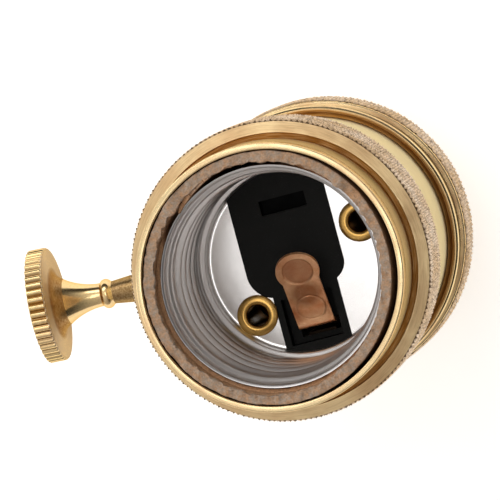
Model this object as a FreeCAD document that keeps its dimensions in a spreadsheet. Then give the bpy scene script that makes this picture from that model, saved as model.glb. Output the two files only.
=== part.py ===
import FreeCAD
import Part
import Sketcher
import math
import os
import re

# Brass lamp holder with a side knob, standing on its inlet boss with the lamp mouth upwards.
# Millimetres. The origin is the centre of the boss's end face, +Z runs out of the lamp mouth,
# and the knob stands out towards -X.

os.makedirs("parts", exist_ok=True)
doc = FreeCAD.newDocument("lamp_holder")

# Driving dimensions

SIZES = [
    # inlet boss and cap
    ("boss_radius", 8.0, "inlet boss, outside"),
    ("boss_length", 6.0, "inlet boss, end face to the dome"),
    ("boss_edge", 0.5, "break on the boss's end edge"),
    ("inlet_radius", 4.5, "wall of the inlet thread"),
    ("inlet_length", 10.0, "end face to the cap's inner floor"),
    ("dome_step", 1.2, "flat between boss and dome"),
    ("dome_height", 7.5, "dome, along the axis"),
    ("dome_round", 10.5, "radius of the dome's swell"),
    ("cap_knurl_width", 8.5, "rear knurled band, along the axis"),
    ("knurl_edge", 0.4, "break on the edges of the knurled bands"),
    ("collar_width", 6.0, "plain collar, along the axis"),
    ("collar_wall", 1.0, "collar, wall round the barrel"),
    ("knurl_rise", 1.1, "rear knurled band above the collar"),
    ("bead_radius", 0.55, "half-round bead on the collar"),
    ("rim_width", 0.45, "raised outer rim of the collar's front face"),
    ("rim_depth", 0.3, "step behind that rim"),
    ("disc_ledge", 1.9, "seat of the fibre disc, on the radius"),
    ("floor_step", 2.9, "flat floor inside the wire room's wall"),
    ("cap_room_height", 5.0, "straight wall above the inner dome"),
    ("cap_inner_round", 6.0, "radius of the dome's inner swell"),
    ("thread_clearance", 0.1, "barrel in cap, on the radius"),
    # barrel
    ("barrel_radius", 17.2, "barrel, outside"),
    ("barrel_wall", 1.2, "barrel, wall"),
    ("shoulder_wall", 4.3, "hole through the shoulder, inside the barrel's outside"),
    ("barrel_show", 25.2, "barrel between collar and front band"),
    ("barrel_entry", 9.2, "length of barrel inside the cap"),
    ("barrel_gap", 0.3, "barrel end above the fibre disc"),
    ("barrel_edge", 0.25, "break on the barrel's rear edge"),
    ("band_rise", 2.0, "front knurled band above the barrel"),
    ("nose_wall", 0.8, "nose, wall"),
    ("cove_width", 0.65, "band's face, inner edge off the nose"),
    ("cove_bite", 0.25, "cove's bottom below the nose"),
    ("shoulder_height", 1.7, "shoulder, along the axis"),
    ("band_width", 11.5, "front knurled band, along the axis"),
    ("cove_depth", 0.75, "cove between band and nose, behind the face"),
    ("cove_round", 0.64, "radius of the cove"),
    ("nose_length", 9.3, "band face to mouth"),
    ("nose_edge", 0.2, "break on the lip"),
    ("groove_drop", 2.5, "fine groove behind the lip"),
    ("groove_half", 0.15, "half width of that groove"),
    ("groove_depth", 0.18, "depth of that groove"),
    # fibre liner and cap disc
    ("liner_wall", 1.15, "liner tube, wall"),
    ("liner_play", 0.35, "liner in the bore, on the radius"),
    ("liner_drop", 0.3, "liner end behind the lip"),
    ("disc_thickness", 0.8, "fibre disc in the cap"),
    ("disc_hole", 5.5, "wire hole in the disc"),
    ("disc_play", 0.3, "disc inside the cap's bore"),
    # rolled screw shell
    ("shell_drop", 2.1, "shell mouth behind the lip"),
    ("shell_wall", 0.4, "sheet of the shell"),
    ("shell_play", 0.55, "shell mouth in the liner, on the radius"),
    ("mouth_step", 1.1, "mean thread below the mouth's outside"),
    ("foot_step", 0.7, "plain foot below the mean thread"),
    ("foot_drawn", 12.15, "plain foot that the core sizes are given for"),
    ("shell_mouth_height", 1.5, "plain ring at the shell's mouth"),
    ("thread_half_depth", 0.5, "half the depth of the lamp thread"),
    ("thread_pitch", 3.629, "pitch of the lamp thread"),
    ("thread_turns", 6, "waves of the lamp thread"),
    ("shell_foot_height", 1.85, "plain foot, along the axis"),
    # mouldings
    ("contact_angle", 3.2, "degrees that window, slot, well and contact lie turned"),
    ("moulding_play", 0.3, "mouldings in the liner, on the radius"),
    ("front_thickness", 2.2, "front moulding"),
    ("body_thickness", 9.5, "floor of the rear moulding"),
    ("key_slot_depth", 1.6, "slot in the front moulding"),
    # centre contact
    ("strip_thickness", 0.45, "contact strip"),
    ("strip_play", 0.3, "contact strip in its shaft, each side"),
    ("strip_angle", 30.8, "degrees that the strip rises"),
    ("dimple_depth", 0.14, "pressed dimple in the head"),
    ("bend_rise", 0.5, "bend above the shell's floor"),
    ("foot_length", 4.4, "foot below the bend"),
    # eyelets
    ("eyelet_play", 0.05, "eyelet in its holes"),
    # knob, spindle and rotor; distances run outwards from the axis
    ("spindle_drop", 34.0, "spindle axis behind the lip"),
    ("spindle_radius", 1.25, "spindle"),
    ("spindle_play", 0.07, "spindle in its bearing"),
    ("spindle_hold", 5.2, "spindle inside the knob's stem"),
    ("barrel_hole", 1.8, "spindle hole in the barrel"),
    ("liner_hole", 2.2, "spindle hole in the liner"),
    ("stem_gap", 0.35, "stem off the barrel"),
    ("stem_base", 2.5, "stem at the barrel"),
    ("stem_waist", 1.5, "stem beside the bead"),
    ("stem_length", 8.85, "stem, barrel side to bead"),
    ("knob_bead", 1.95, "bead on the neck"),
    ("knob_bead_width", 1.5, "bead, along the spindle"),
    ("neck_radius", 1.55, "neck beyond the bead"),
    ("trumpet_radius", 3.9, "trumpet at the disc"),
    ("trumpet_round", 9.2, "radius of the trumpet's sweep"),
    ("trumpet_length", 6.1, "trumpet, along the spindle"),
    ("knob_radius", 7.6, "knob disc, over the ribs"),
    ("knob_face_rise", 0.1, "rise of the knob's inner face"),
    ("knob_rim", 1.95, "ribbed rim, along the spindle"),
    ("knob_shoulder", 0.35, "rounded shoulder behind the rim"),
    ("knob_crown", 0.5, "rise of the knob's outer face"),
    ("rim_edge", 0.2, "break on the rim's outer edge"),
    ("rib_count", 38, "ribs round the knob"),
    ("rib_depth", 0.32, "groove between ribs"),
    ("rib_groove_share", 0.42, "groove's half width over half a rib's spacing"),
    ("rotor_grip", 0.02, "rotor and knob round the spindle"),
    ("rotor_play", 0.5, "channel past the rotor's ends"),
    # switch and terminals
    ("leaf_thickness", 0.35, "spring leaf and fixed contact"),
    ("leaf_gap", 0.2, "rotor lobe to leaf"),
    ("trough_play", 0.4, "trough past the leaf, each side"),
    ("fixed_drop", 0.3, "fixed contact below the front moulding"),
    ("screw_head_height", 1.6, "terminal screw head"),
    ("screw_length", 2.4, "terminal screw in its block"),
    ("screw_slot", 0.6, "slot of every screw"),
    ("plate_thickness", 0.5, "neutral plate"),
    ("plate_margin", 0.2, "neutral plate past the eyelet's lip"),
    # cap screws
    ("grub_radius", 1.5, "grub screw in the boss"),
    ("grub_length", 3.2, "grub screw in the boss"),
    ("grub_slot_depth", 0.9, "slot of the grub screw"),
    ("earth_radius", 1.6, "earth screw"),
    ("earth_head", 2.8, "earth screw head"),
    ("earth_head_height", 1.7, "earth screw head"),
    ("earth_depth", 2.6, "earth screw in the floor"),
    ("washer_margin", 0.8, "earth washer off the floor's edges"),
    ("washer_thickness", 0.6, "earth washer"),
    # cuts
    ("tip_room", 0.2, "hole past the end of its screw"),
    ("run_out", 1.0, "cut past the face that it opens"),
    ("full_round_ratio", 1.02, "radius of a half-round bead over half its chord"),
]

# Radii that follow one another outwards and inwards from the barrel

RADII = [
    ("bore_radius", "barrel_radius - barrel_wall"),
    ("shoulder_radius", "barrel_radius - shoulder_wall"),
    ("band_radius", "barrel_radius + band_rise"),
    ("nose_radius", "bore_radius + nose_wall"),
    ("nose_neck", "nose_radius - cove_bite"),
    ("cove_radius", "nose_radius + cove_width"),
    ("liner_radius", "bore_radius - liner_play"),
    ("moulding_radius", "liner_radius - liner_wall - moulding_play"),
    ("shell_mouth", "liner_radius - liner_wall - shell_play"),
    ("thread_mean", "shell_mouth - mouth_step"),
    ("shell_foot", "thread_mean - foot_step"),
    ("cap_bore", "barrel_radius + thread_clearance"),
    ("collar_radius", "cap_bore + collar_wall"),
    ("cap_knurl_radius", "collar_radius + knurl_rise"),
    ("cap_room_radius", "cap_bore - disc_ledge"),
    ("cap_floor_radius", "cap_room_radius - floor_step"),
    ("earth_distance", "(cap_floor_radius + inlet_radius) / 2"),
    ("washer_radius", "(cap_floor_radius - inlet_radius) / 2 - washer_margin"),
    ("core_ratio", "shell_foot / foot_drawn"),
]

# Core sizes, across the axis: they grow with the shell's foot

CORE = [
    # window through the shell's floor, measured from the axis
    ("window_left", 7.45, "wide part, towards the knob"),
    ("window_right", 5.53, "wide part, away from the knob"),
    ("tab_left", 4.83, "narrow part, towards the knob"),
    ("tab_right", 4.03, "narrow part, away from the knob"),
    ("window_corner", 0.9, "start of the left shoulder below the axis"),
    ("window_shoulder", 4.16, "end of the left shoulder below the axis"),
    ("window_left_round", 3.6, "radius of the left shoulder"),
    ("window_right_drop", 3.64, "end of the right shoulder below the axis"),
    ("window_right_round", 2.6, "radius of the right shoulder"),
    # openings in the front moulding
    ("key_slot_length", 6.1, "slot in the front moulding"),
    ("key_slot_width", 1.95, "slot in the front moulding"),
    ("key_slot_offset", 7.43, "slot from the axis"),
    ("key_slot_side", -0.45, "slot towards the knob"),
    ("well_left", 4.0, "well round the contact, towards the knob"),
    ("well_right", 2.9, "well round the contact, away from the knob"),
    ("well_near", 4.7, "well, edge near the axis"),
    ("well_far", 10.95, "well, edge far from the axis"),
    # centre contact
    ("strip_width", 4.85, "contact strip"),
    ("strip_reach", 8.98, "bend to the middle of the head, along the strip"),
    ("head_radius", 2.85, "round head of the strip"),
    ("dimple_radius", 2.05, "pressed dimple in the head"),
    ("bend_distance", 9.1, "bend from the axis"),
    # eyelets
    ("eyelet_bore", 1.45, "eyelet, inside"),
    ("eyelet_tube", 1.85, "eyelet, outside"),
    ("eyelet_lip", 2.6, "eyelet, rolled lip"),
    ("left_eyelet_x", -7.02, "eyelet near the knob"),
    ("left_eyelet_y", -6.27, "eyelet near the knob"),
    ("right_eyelet_x", 8.58, "eyelet away from the knob"),
    ("right_eyelet_y", 3.24, "eyelet away from the knob"),
    # switch
    ("spindle_inner", 6.3, "spindle end past the axis"),
    ("rotor_radius", 2.8, "switch rotor over its lobes"),
    ("rotor_flat", 4.2, "switch rotor across its flats"),
    ("rotor_left", 6.2, "rotor end towards the knob"),
    ("rotor_right", 4.4, "rotor end away from the knob"),
    ("rotor_room", 3.3, "half width of the rotor's channel"),
    ("leaf_width", 4.4, "spring leaf"),
    ("leaf_live_end", 10.4, "leaf end at the live terminal"),
    ("leaf_free_end", 8.3, "leaf end at the fixed contact"),
    ("shaft_far", 10.25, "contact shaft, far wall"),
    ("shaft_near", 8.45, "contact shaft, near wall"),
    ("fixed_reach", 4.2, "tongue of the fixed contact"),
    ("fixed_width", 3.6, "fixed contact"),
    # terminals
    ("terminal_width", 5.0, "terminal block"),
    ("terminal_depth", 4.4, "terminal block"),
    ("live_near", 6.0, "live block from the axis"),
    ("terminal_drop", 5.6, "terminal block below its plate"),
    ("terminal_hole", 1.2, "wire hole in the block"),
    ("screw_radius", 1.3, "terminal screw"),
    ("screw_head", 2.2, "terminal screw head"),
    ("neutral_x", 8.1, "neutral block from the axis"),
    ("neutral_y", -4.5, "neutral block from the axis"),
]

# Heights and radii that follow from the sizes, measured up from the boss's end face

LEVELS = [
    ("shoulder", "boss_length + dome_height"),
    ("collar_start", "shoulder + cap_knurl_width"),
    ("rim", "collar_start + collar_width"),
    ("band_back", "rim + barrel_show"),
    ("band_face", "band_back + band_width"),
    ("lip", "band_face + nose_length"),
    ("barrel_end", "rim - barrel_entry"),
    ("disc_top", "barrel_end - barrel_gap"),
    ("disc_seat", "disc_top - disc_thickness"),
    ("shoulder_top", "barrel_end + shoulder_height"),
    ("shell_top", "lip - shell_drop"),
    ("wave_slope", "4 * thread_half_depth / thread_pitch"),
    ("wave_round", "(thread_pitch ^ 2 / 16 + thread_half_depth ^ 2) / (2 * thread_half_depth)"),
    ("sheet_middle", "thread_mean + shell_wall / 2"),
    ("sheet_out", "shell_wall / 2 * (1 - wave_slope ^ 2) / (1 + wave_slope ^ 2)"),
    ("sheet_lean", "shell_wall * wave_slope / (1 + wave_slope ^ 2)"),
    ("thread_top", "shell_top - shell_mouth_height - shell_wall - sheet_lean"),
    ("thread_foot", "thread_top - thread_turns * thread_pitch"),
    ("shell_floor", "thread_foot - shell_foot_height"),
    ("front_top", "shell_floor - shell_wall"),
    ("body_top", "front_top - front_thickness"),
    ("body_under", "body_top - body_thickness"),
    ("spindle_level", "lip - spindle_drop"),
    ("leaf_top", "spindle_level - rotor_radius - leaf_gap"),
    ("leaf_under", "leaf_top - leaf_thickness"),
    ("bend_level", "shell_floor + bend_rise"),
    ("stem_start", "barrel_radius + stem_gap"),
    ("bead_start", "stem_start + stem_length"),
    ("bead_end", "bead_start + knob_bead_width"),
    ("trumpet_end", "bead_end + trumpet_length"),
    ("rim_start", "trumpet_end + knob_face_rise + knob_shoulder"),
    ("rim_end", "rim_start + knob_rim"),
    ("cap_floor", "inlet_length"),
    ("inner_dome_top", "disc_seat - cap_room_height"),
]

SHEETS = (
    ("Sizes", [(name, value, note) for name, value, note in SIZES]),
    ("Radii", [(name, formula, "") for name, formula in RADII]),
    ("Core", [(name, "%s * core_ratio" % value, note) for name, value, note in CORE]),
    ("Levels", [(name, formula, "") for name, formula in LEVELS]),
)
ALIASES = {row[0]: label for label, rows in SHEETS for row in rows}


def expr(text):
    """Point every size named in the text at its cell."""
    def cell(match):
        word = match.group(0)
        return ALIASES[word] + "." + word if word in ALIASES else word
    return re.sub(r"[A-Za-z_][A-Za-z_0-9]*", cell, str(text))


for label, rows in SHEETS:
    sheet = doc.addObject("Spreadsheet::Sheet", label)
    for row, (name, formula, note) in enumerate(rows, start=1):
        sheet.set("A%d" % row, name)
        sheet.setAlias("B%d" % row, name)
        sheet.set("C%d" % row, note)
    for row, (name, formula, note) in enumerate(rows, start=1):
        sheet.set("B%d" % row, "=" + expr(formula).replace(label + ".", ""))
    doc.recompute()


def value_of(text):
    """The present number of a size formula, in millimetres."""
    found = doc.Levels.evalExpression(expr(text))
    return float(getattr(found, "Value", found))


def bind(thing, **formulas):
    """Tie properties to size formulas; x, y, z and turn stand for parts of the placement."""
    places = {"x": "Placement.Base.x", "y": "Placement.Base.y", "z": "Placement.Base.z",
              "turn": "Placement.Rotation.Angle"}
    for key, formula in formulas.items():
        thing.setExpression(places.get(key, key), expr(formula))
    return thing


# Sketches from a list of corners

def add_outline(sketch, corners):
    """Close an outline through corners (x, y) or (x, y, radius, sense).

    The third and fourth items make the stretch that arrives at the corner an arc,
    sense 1 anticlockwise and -1 clockwise."""
    spots = [FreeCAD.Vector(value_of(c[0]), value_of(c[1]), 0) for c in corners]
    starts, ends = [], []
    for i, corner in enumerate(corners):
        before, here = spots[i - 1], spots[i]
        if len(corner) == 2:
            index = sketch.addGeometry(Part.LineSegment(before, here), False)
            starts.append((index, 1))
            ends.append((index, 2))
            continue
        radius, sense = value_of(corner[2]), corner[3]
        chord = here - before
        rise = math.sqrt(radius ** 2 - (chord.Length / 2) ** 2)
        across = FreeCAD.Vector(-chord.y, chord.x, 0).normalize()
        centre = (before + here) * 0.5 + across * rise * sense
        first, last = (before, here) if sense > 0 else (here, before)
        begin = math.atan2(first.y - centre.y, first.x - centre.x)
        finish = math.atan2(last.y - centre.y, last.x - centre.x)
        circle = Part.Circle(centre, FreeCAD.Vector(0, 0, 1), radius)
        index = sketch.addGeometry(Part.ArcOfCircle(circle, begin, finish), False)
        starts.append((index, 1 if sense > 0 else 2))
        ends.append((index, 2 if sense > 0 else 1))
        held = sketch.addConstraint(Sketcher.Constraint("Radius", index, radius))
        sketch.setExpression("Constraints[%d]" % held, expr(corner[2]))
    for i, corner in enumerate(corners):
        after = (i + 1) % len(corners)
        sketch.addConstraint(Sketcher.Constraint("Coincident", *ends[i], *starts[after]))
        for kind, formula, number in (("DistanceX", corner[0], spots[i].x),
                                      ("DistanceY", corner[1], spots[i].y)):
            if str(formula) == "0":
                axis = -2 if kind == "DistanceX" else -1
                sketch.addConstraint(Sketcher.Constraint("PointOnObject", *ends[i], axis))
                continue
            held = sketch.addConstraint(Sketcher.Constraint(kind, -1, 1, *ends[i], number))
            sketch.setExpression("Constraints[%d]" % held, expr(formula))


def origin_plane(body, role):
    return next(f for f in body.Origin.OriginFeatures if f.Role == role)


def turned(name, corners):
    """A piece turned about its own Z axis from an outline in radius and height."""
    body = doc.addObject("PartDesign::Body", name)
    sketch = body.newObject("Sketcher::SketchObject", name + "_outline")
    sketch.AttachmentSupport = (origin_plane(body, "XZ_Plane"), [""])
    sketch.MapMode = "FlatFace"
    doc.recompute()
    add_outline(sketch, corners)
    spin = body.newObject("PartDesign::Revolution", name + "_turning")
    spin.Profile = sketch
    spin.ReferenceAxis = (sketch, ["V_Axis"])
    spin.Angle = 360.0
    sketch.Visibility = False
    doc.recompute()
    return body


def plate(name, corners, bottom, thickness):
    """A flat piece with an outline in X and Y, its underside at the given height."""
    sketch = doc.addObject("Sketcher::SketchObject", name + "_outline")
    add_outline(sketch, corners)
    piece = doc.addObject("Part::Extrusion", name)
    piece.Base = sketch
    piece.DirMode = "Custom"
    piece.Dir = FreeCAD.Vector(0, 0, 1)
    piece.Solid = True
    bind(piece, LengthFwd=thickness, z=bottom)
    return piece


# Plain shapes

ALONG_X = FreeCAD.Rotation(FreeCAD.Vector(0, 1, 0), 90)
ALONG_Y = FreeCAD.Rotation(FreeCAD.Vector(1, 0, 0), -90)


def cylinder(name, radius, height, x="0", y="0", z="0", rotation=None):
    piece = doc.addObject("Part::Cylinder", name)
    if rotation:
        piece.Placement.Rotation = rotation
    return bind(piece, Radius=radius, Height=height, x=x, y=y, z=z)


def box(name, low, high):
    """A box between two corners, each three size formulas."""
    piece = doc.addObject("Part::Box", name)
    length, width, height = ("(%s) - (%s)" % (b, a) for a, b in zip(low, high))
    return bind(piece, Length=length, Width=width, Height=height, x=low[0], y=low[1], z=low[2])


def fuse(name, pieces):
    whole = doc.addObject("Part::MultiFuse", name)
    whole.Shapes = pieces
    return whole


def cut(name, base, tool):
    rest = doc.addObject("Part::Cut", name)
    rest.Base = base
    rest.Tool = tool
    return rest


def turn_about_axis(piece, formula):
    """Turn a piece about the holder's axis; a single box is turned inside a compound."""
    if piece.TypeId == "Part::Box":
        group = doc.addObject("Part::Compound", piece.Name + "_turned")
        group.Links = [piece]
        piece = group
    piece.Placement.Rotation = FreeCAD.Rotation(FreeCAD.Vector(0, 0, 1), 1)
    return bind(piece, turn=formula)


NODES = []


def node(name, piece):
    """Name a finished piece of the holder."""
    piece.Label = name
    NODES.append(piece)
    return piece


def slotted_screw(name, head, head_height, shank, shank_length):
    """A screw with its head's top at height 0 and its shank downwards."""
    blank = fuse(name + "_blank", [
        cylinder(name + "_head", head, head_height, z="-(%s)" % head_height),
        cylinder(name + "_shank", shank, "%s + %s" % (head_height, shank_length),
                 z="-(%s) - (%s)" % (head_height, shank_length))])
    slot = box(name + "_slot", ("-2 * (%s)" % head, "-screw_slot / 2", "-(%s) / 2" % head_height),
               ("2 * (%s)" % head, "screw_slot / 2", head_height))
    return cut(name, blank, slot)


# Cap: inlet boss, dome, knurled band and collar, turned in one piece

cap_turning = turned("cap_turning", [
    ("inlet_radius", "0"),
    ("boss_radius - boss_edge", "0"),
    ("boss_radius", "boss_edge"),
    ("boss_radius", "boss_length"),
    ("boss_radius + dome_step", "boss_length"),
    ("cap_knurl_radius - knurl_edge", "shoulder", "dome_round", 1),
    ("cap_knurl_radius", "shoulder + knurl_edge"),
    ("cap_knurl_radius", "collar_start - knurl_edge"),
    ("cap_knurl_radius - knurl_edge", "collar_start"),
    ("collar_radius", "collar_start"),
    ("collar_radius", "rim - 3 * bead_radius"),
    ("collar_radius", "rim - bead_radius", "bead_radius * full_round_ratio", 1),
    ("collar_radius", "rim"),
    ("collar_radius - rim_width", "rim"),
    ("collar_radius - rim_width", "rim - rim_depth"),
    ("cap_bore", "rim - rim_depth"),
    ("cap_bore", "disc_seat"),
    ("cap_room_radius", "disc_seat"),
    ("cap_room_radius", "inner_dome_top"),
    ("cap_floor_radius", "cap_floor", "cap_inner_round", -1),
    ("inlet_radius", "cap_floor"),
])
grub_height = "boss_length / 2"
cap_holes = fuse("cap_holes", [
    cylinder("grub_hole", "grub_radius", "boss_radius", z=grub_height, rotation=ALONG_Y),
    cylinder("earth_hole", "earth_radius", "earth_depth + tip_room", y="-earth_distance",
             z="cap_floor - earth_depth - tip_room"),
])
node("cap", cut("cap", cap_turning, cap_holes))

grub = cut("grub_screw",
           cylinder("grub_blank", "grub_radius", "grub_length", y="boss_radius - grub_length",
                    z=grub_height, rotation=ALONG_Y),
           box("grub_slot",
               ("-2 * grub_radius", "boss_radius - grub_slot_depth", "(%s) - screw_slot / 2" % grub_height),
               ("2 * grub_radius", "boss_radius + run_out", "(%s) + screw_slot / 2" % grub_height)))
node("grub_screw", grub)

earth = slotted_screw("earth_screw", "earth_head", "earth_head_height", "earth_radius",
                      "earth_depth + washer_thickness")
bind(earth, y="-earth_distance", z="cap_floor + washer_thickness + earth_head_height")
node("earth_screw", earth)
node("earth_washer", cut("earth_washer",
     cylinder("washer_blank", "washer_radius", "washer_thickness", y="-earth_distance", z="cap_floor"),
     cylinder("washer_hole", "earth_radius", "washer_thickness", y="-earth_distance", z="cap_floor")))

node("cap_disc", cut("cap_disc",
     cylinder("disc_blank", "cap_bore - disc_play", "disc_thickness", z="disc_seat"),
     cylinder("disc_opening", "disc_hole", "disc_thickness", z="disc_seat")))

# Barrel: shoulder, tube, knurled band, cove and nose, turned in one piece

barrel_turning = turned("barrel_turning", [
    ("shoulder_radius", "barrel_end"),
    ("barrel_radius - barrel_edge", "barrel_end"),
    ("barrel_radius", "barrel_end + barrel_edge"),
    ("barrel_radius", "band_back"),
    ("band_radius - knurl_edge", "band_back"),
    ("band_radius", "band_back + knurl_edge"),
    ("band_radius", "band_face - knurl_edge"),
    ("band_radius - knurl_edge", "band_face"),
    ("cove_radius", "band_face"),
    ("nose_neck", "band_face - cove_depth", "cove_round", -1),
    ("nose_radius", "band_face + cove_depth"),
    ("nose_radius", "lip - groove_drop - groove_half"),
    ("nose_radius - groove_depth", "lip - groove_drop"),
    ("nose_radius", "lip - groove_drop + groove_half"),
    ("nose_radius", "lip - nose_edge"),
    ("nose_radius - nose_edge", "lip"),
    ("bore_radius + nose_edge", "lip"),
    ("bore_radius", "lip - nose_edge"),
    ("bore_radius", "shoulder_top"),
    ("shoulder_radius", "shoulder_top"),
])
node("barrel", cut("barrel", barrel_turning,
     cylinder("barrel_side_hole", "barrel_hole", "band_radius", x="-band_radius", z="spindle_level",
              rotation=ALONG_X)))

liner_tube = cut("liner_tube",
                 cylinder("liner_blank", "liner_radius", "lip - liner_drop - shoulder_top",
                          z="shoulder_top"),
                 cylinder("liner_bore", "liner_radius - liner_wall", "lip - shoulder_top",
                          z="shoulder_top"))
node("liner", cut("liner", liner_tube,
     cylinder("liner_side_hole", "liner_hole", "band_radius", x="-band_radius", z="spindle_level",
              rotation=ALONG_X)))


# Rolled screw shell: a cup of even sheet whose wall runs in tangent waves, one to each turn of the lamp

def wave_side(side):
    """One face of the waved wall from the foot up, side 1 outside and -1 inside."""
    corners = []
    for half in range(2 * int(value_of("thread_turns")) + 1):
        swell = -1 if half % 2 else 1
        corner = ("sheet_middle + %d * sheet_out" % side,
                  "thread_foot + %d * thread_pitch / 2 + %d * sheet_lean" % (half, side * swell))
        if half:
            corner += ("wave_round + %d * shell_wall / 2" % (side * swell), swell)
        corners.append(corner)
    return corners


def reversed_run(corners):
    """The same stretch drawn from its far end, each arc kept on its own side."""
    back = [corners[-1][:2]]
    for before, here in zip(corners[-2::-1], corners[::-1]):
        back.append(before[:2] + (here[2], -here[3]))
    return back


shell_cup = turned("shell_cup", [
    ("0", "front_top"),
    ("shell_foot + shell_wall", "front_top"),
    ("shell_foot + shell_wall", "thread_foot - sheet_lean - shell_wall"),
    ("sheet_middle + sheet_out", "thread_foot - sheet_lean - shell_wall"),
] + wave_side(1) + [
    ("shell_mouth", "thread_top + sheet_lean"),
    ("shell_mouth", "shell_top"),
    ("shell_mouth - shell_wall", "shell_top"),
    ("shell_mouth - shell_wall", "thread_top + sheet_lean + shell_wall"),
    ("sheet_middle - sheet_out", "thread_top + sheet_lean + shell_wall"),
] + reversed_run(wave_side(-1)) + [
    ("shell_foot", "thread_foot - sheet_lean"),
    ("shell_foot", "shell_floor"),
    ("0", "shell_floor"),
])

window = plate("window", [
    ("-window_left", "shell_foot"),
    ("-window_left", "-window_corner"),
    ("-tab_left", "-window_shoulder", "window_left_round", 1),
    ("-tab_left", "-shell_foot"),
    ("tab_right", "-shell_foot"),
    ("tab_right", "-window_right_drop"),
    ("window_right", "-window_corner", "window_right_round", 1),
    ("window_right", "shell_foot"),
], "front_top - run_out", "shell_wall + 2 * run_out")
turn_about_axis(window, "contact_angle")
window_space = doc.addObject("Part::Common", "window_space")
window_space.Base = window
window_space.Tool = cylinder("window_limit", "shell_foot", "shell_wall + 4 * run_out",
                             z="front_top - 2 * run_out")

EYELETS = (("eyelet_left", "left_eyelet_x", "left_eyelet_y", "body_under"),
           ("eyelet_right", "right_eyelet_x", "right_eyelet_y", "body_under - plate_thickness"))


def eyelet_holes(name):
    """Two holes for the eyelets, right through the stack."""
    return [cylinder("%s_%s" % (name, eyelet), "eyelet_tube + eyelet_play", "lip", x=x, y=y)
            for eyelet, x, y, under in EYELETS]


node("screw_shell", cut("screw_shell", shell_cup,
     fuse("shell_openings", [window_space] + eyelet_holes("shell_hole"))))

# Eyelets with a rolled lip at each end

for eyelet, x, y, under in EYELETS:
    lip_round = "(eyelet_lip - eyelet_bore) / 2 * full_round_ratio"
    rivet = turned(eyelet, [
        ("eyelet_tube", "shell_floor"),
        ("eyelet_lip", "shell_floor"),
        ("eyelet_bore", "shell_floor", lip_round, 1),
        ("eyelet_bore", under),
        ("eyelet_lip", under, lip_round, 1),
        ("eyelet_tube", under),
    ])
    bind(rivet, x=x, y=y)
    node(eyelet, rivet)

# Front moulding, seen through the shell's window

front_space = fuse("front_space", [
    box("key_slot", ("key_slot_side - key_slot_length / 2", "key_slot_offset - key_slot_width / 2",
                     "front_top - key_slot_depth"),
        ("key_slot_side + key_slot_length / 2", "key_slot_offset + key_slot_width / 2",
         "front_top + run_out")),
    box("contact_well", ("-well_left", "-well_far", "body_top - run_out"),
        ("well_right", "-well_near", "front_top + run_out")),
])
turn_about_axis(front_space, "contact_angle")
node("front_moulding", cut("front_moulding",
     cylinder("front_blank", "moulding_radius", "front_thickness", z="body_top"),
     fuse("front_openings", [front_space] + eyelet_holes("front_hole"))))

# Rear moulding: a thick floor that carries the switch, and a skirt down to the barrel's shoulder

rear_blank = turned("rear_blank", [
    ("0", "body_under"),
    ("shoulder_radius", "body_under"),
    ("shoulder_radius", "shoulder_top"),
    ("moulding_radius", "shoulder_top"),
    ("moulding_radius", "body_top"),
    ("0", "body_top"),
])
contact_shaft = turn_about_axis(
    box("contact_shaft", ("-strip_width / 2 - strip_play", "-shaft_far", "body_under - run_out"),
        ("strip_width / 2 + strip_play", "-shaft_near", "body_top + run_out")), "contact_angle")
leaf_trough = box("leaf_trough", ("-leaf_width / 2 - trough_play", "-shaft_far", "body_under - run_out"),
                  ("leaf_width / 2 + trough_play", "leaf_live_end + trough_play", "leaf_top"))
rear_space = fuse("rear_space", [
    box("rotor_channel", ("-rotor_left - rotor_play", "-rotor_room", "spindle_level - rotor_room"),
        ("rotor_right + rotor_play", "rotor_room", "body_top + run_out")),
    cylinder("spindle_bore", "spindle_radius + spindle_play",
             "moulding_radius + spindle_inner + rotor_play + run_out", x="-moulding_radius - run_out",
             z="spindle_level", rotation=ALONG_X),
    contact_shaft,
    leaf_trough,
])
node("rear_moulding", cut("rear_moulding", rear_blank,
     fuse("rear_openings", [rear_space] + eyelet_holes("rear_hole"))))

# Centre contact: a sprung strip that rises from its bend to a round head

strip_flat = fuse("strip_flat", [
    box("strip_run", ("-strip_width / 2", "0", "-strip_thickness"), ("strip_width / 2", "strip_reach", "0")),
    cylinder("strip_head", "head_radius", "strip_thickness", y="strip_reach", z="-strip_thickness"),
])
strip_pressed = cut("strip_pressed", strip_flat,
                    cylinder("strip_dimple", "dimple_radius", "run_out", y="strip_reach", z="-dimple_depth"))
strip_pressed.Placement.Rotation = FreeCAD.Rotation(FreeCAD.Vector(1, 0, 0), 1)
bind(strip_pressed, turn="strip_angle", y="-bend_distance", z="bend_level")
strip_foot = box("strip_foot", ("-strip_width / 2", "-bend_distance", "bend_level - foot_length"),
                 ("strip_width / 2", "-bend_distance + strip_thickness", "bend_level"))
strip_whole = fuse("strip_whole", [strip_pressed, strip_foot])
turn_about_axis(strip_whole, "contact_angle")
node("centre_contact", strip_whole)

# Knob and its stem, turned in one piece and then ribbed; the body's own Z runs outwards

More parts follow.
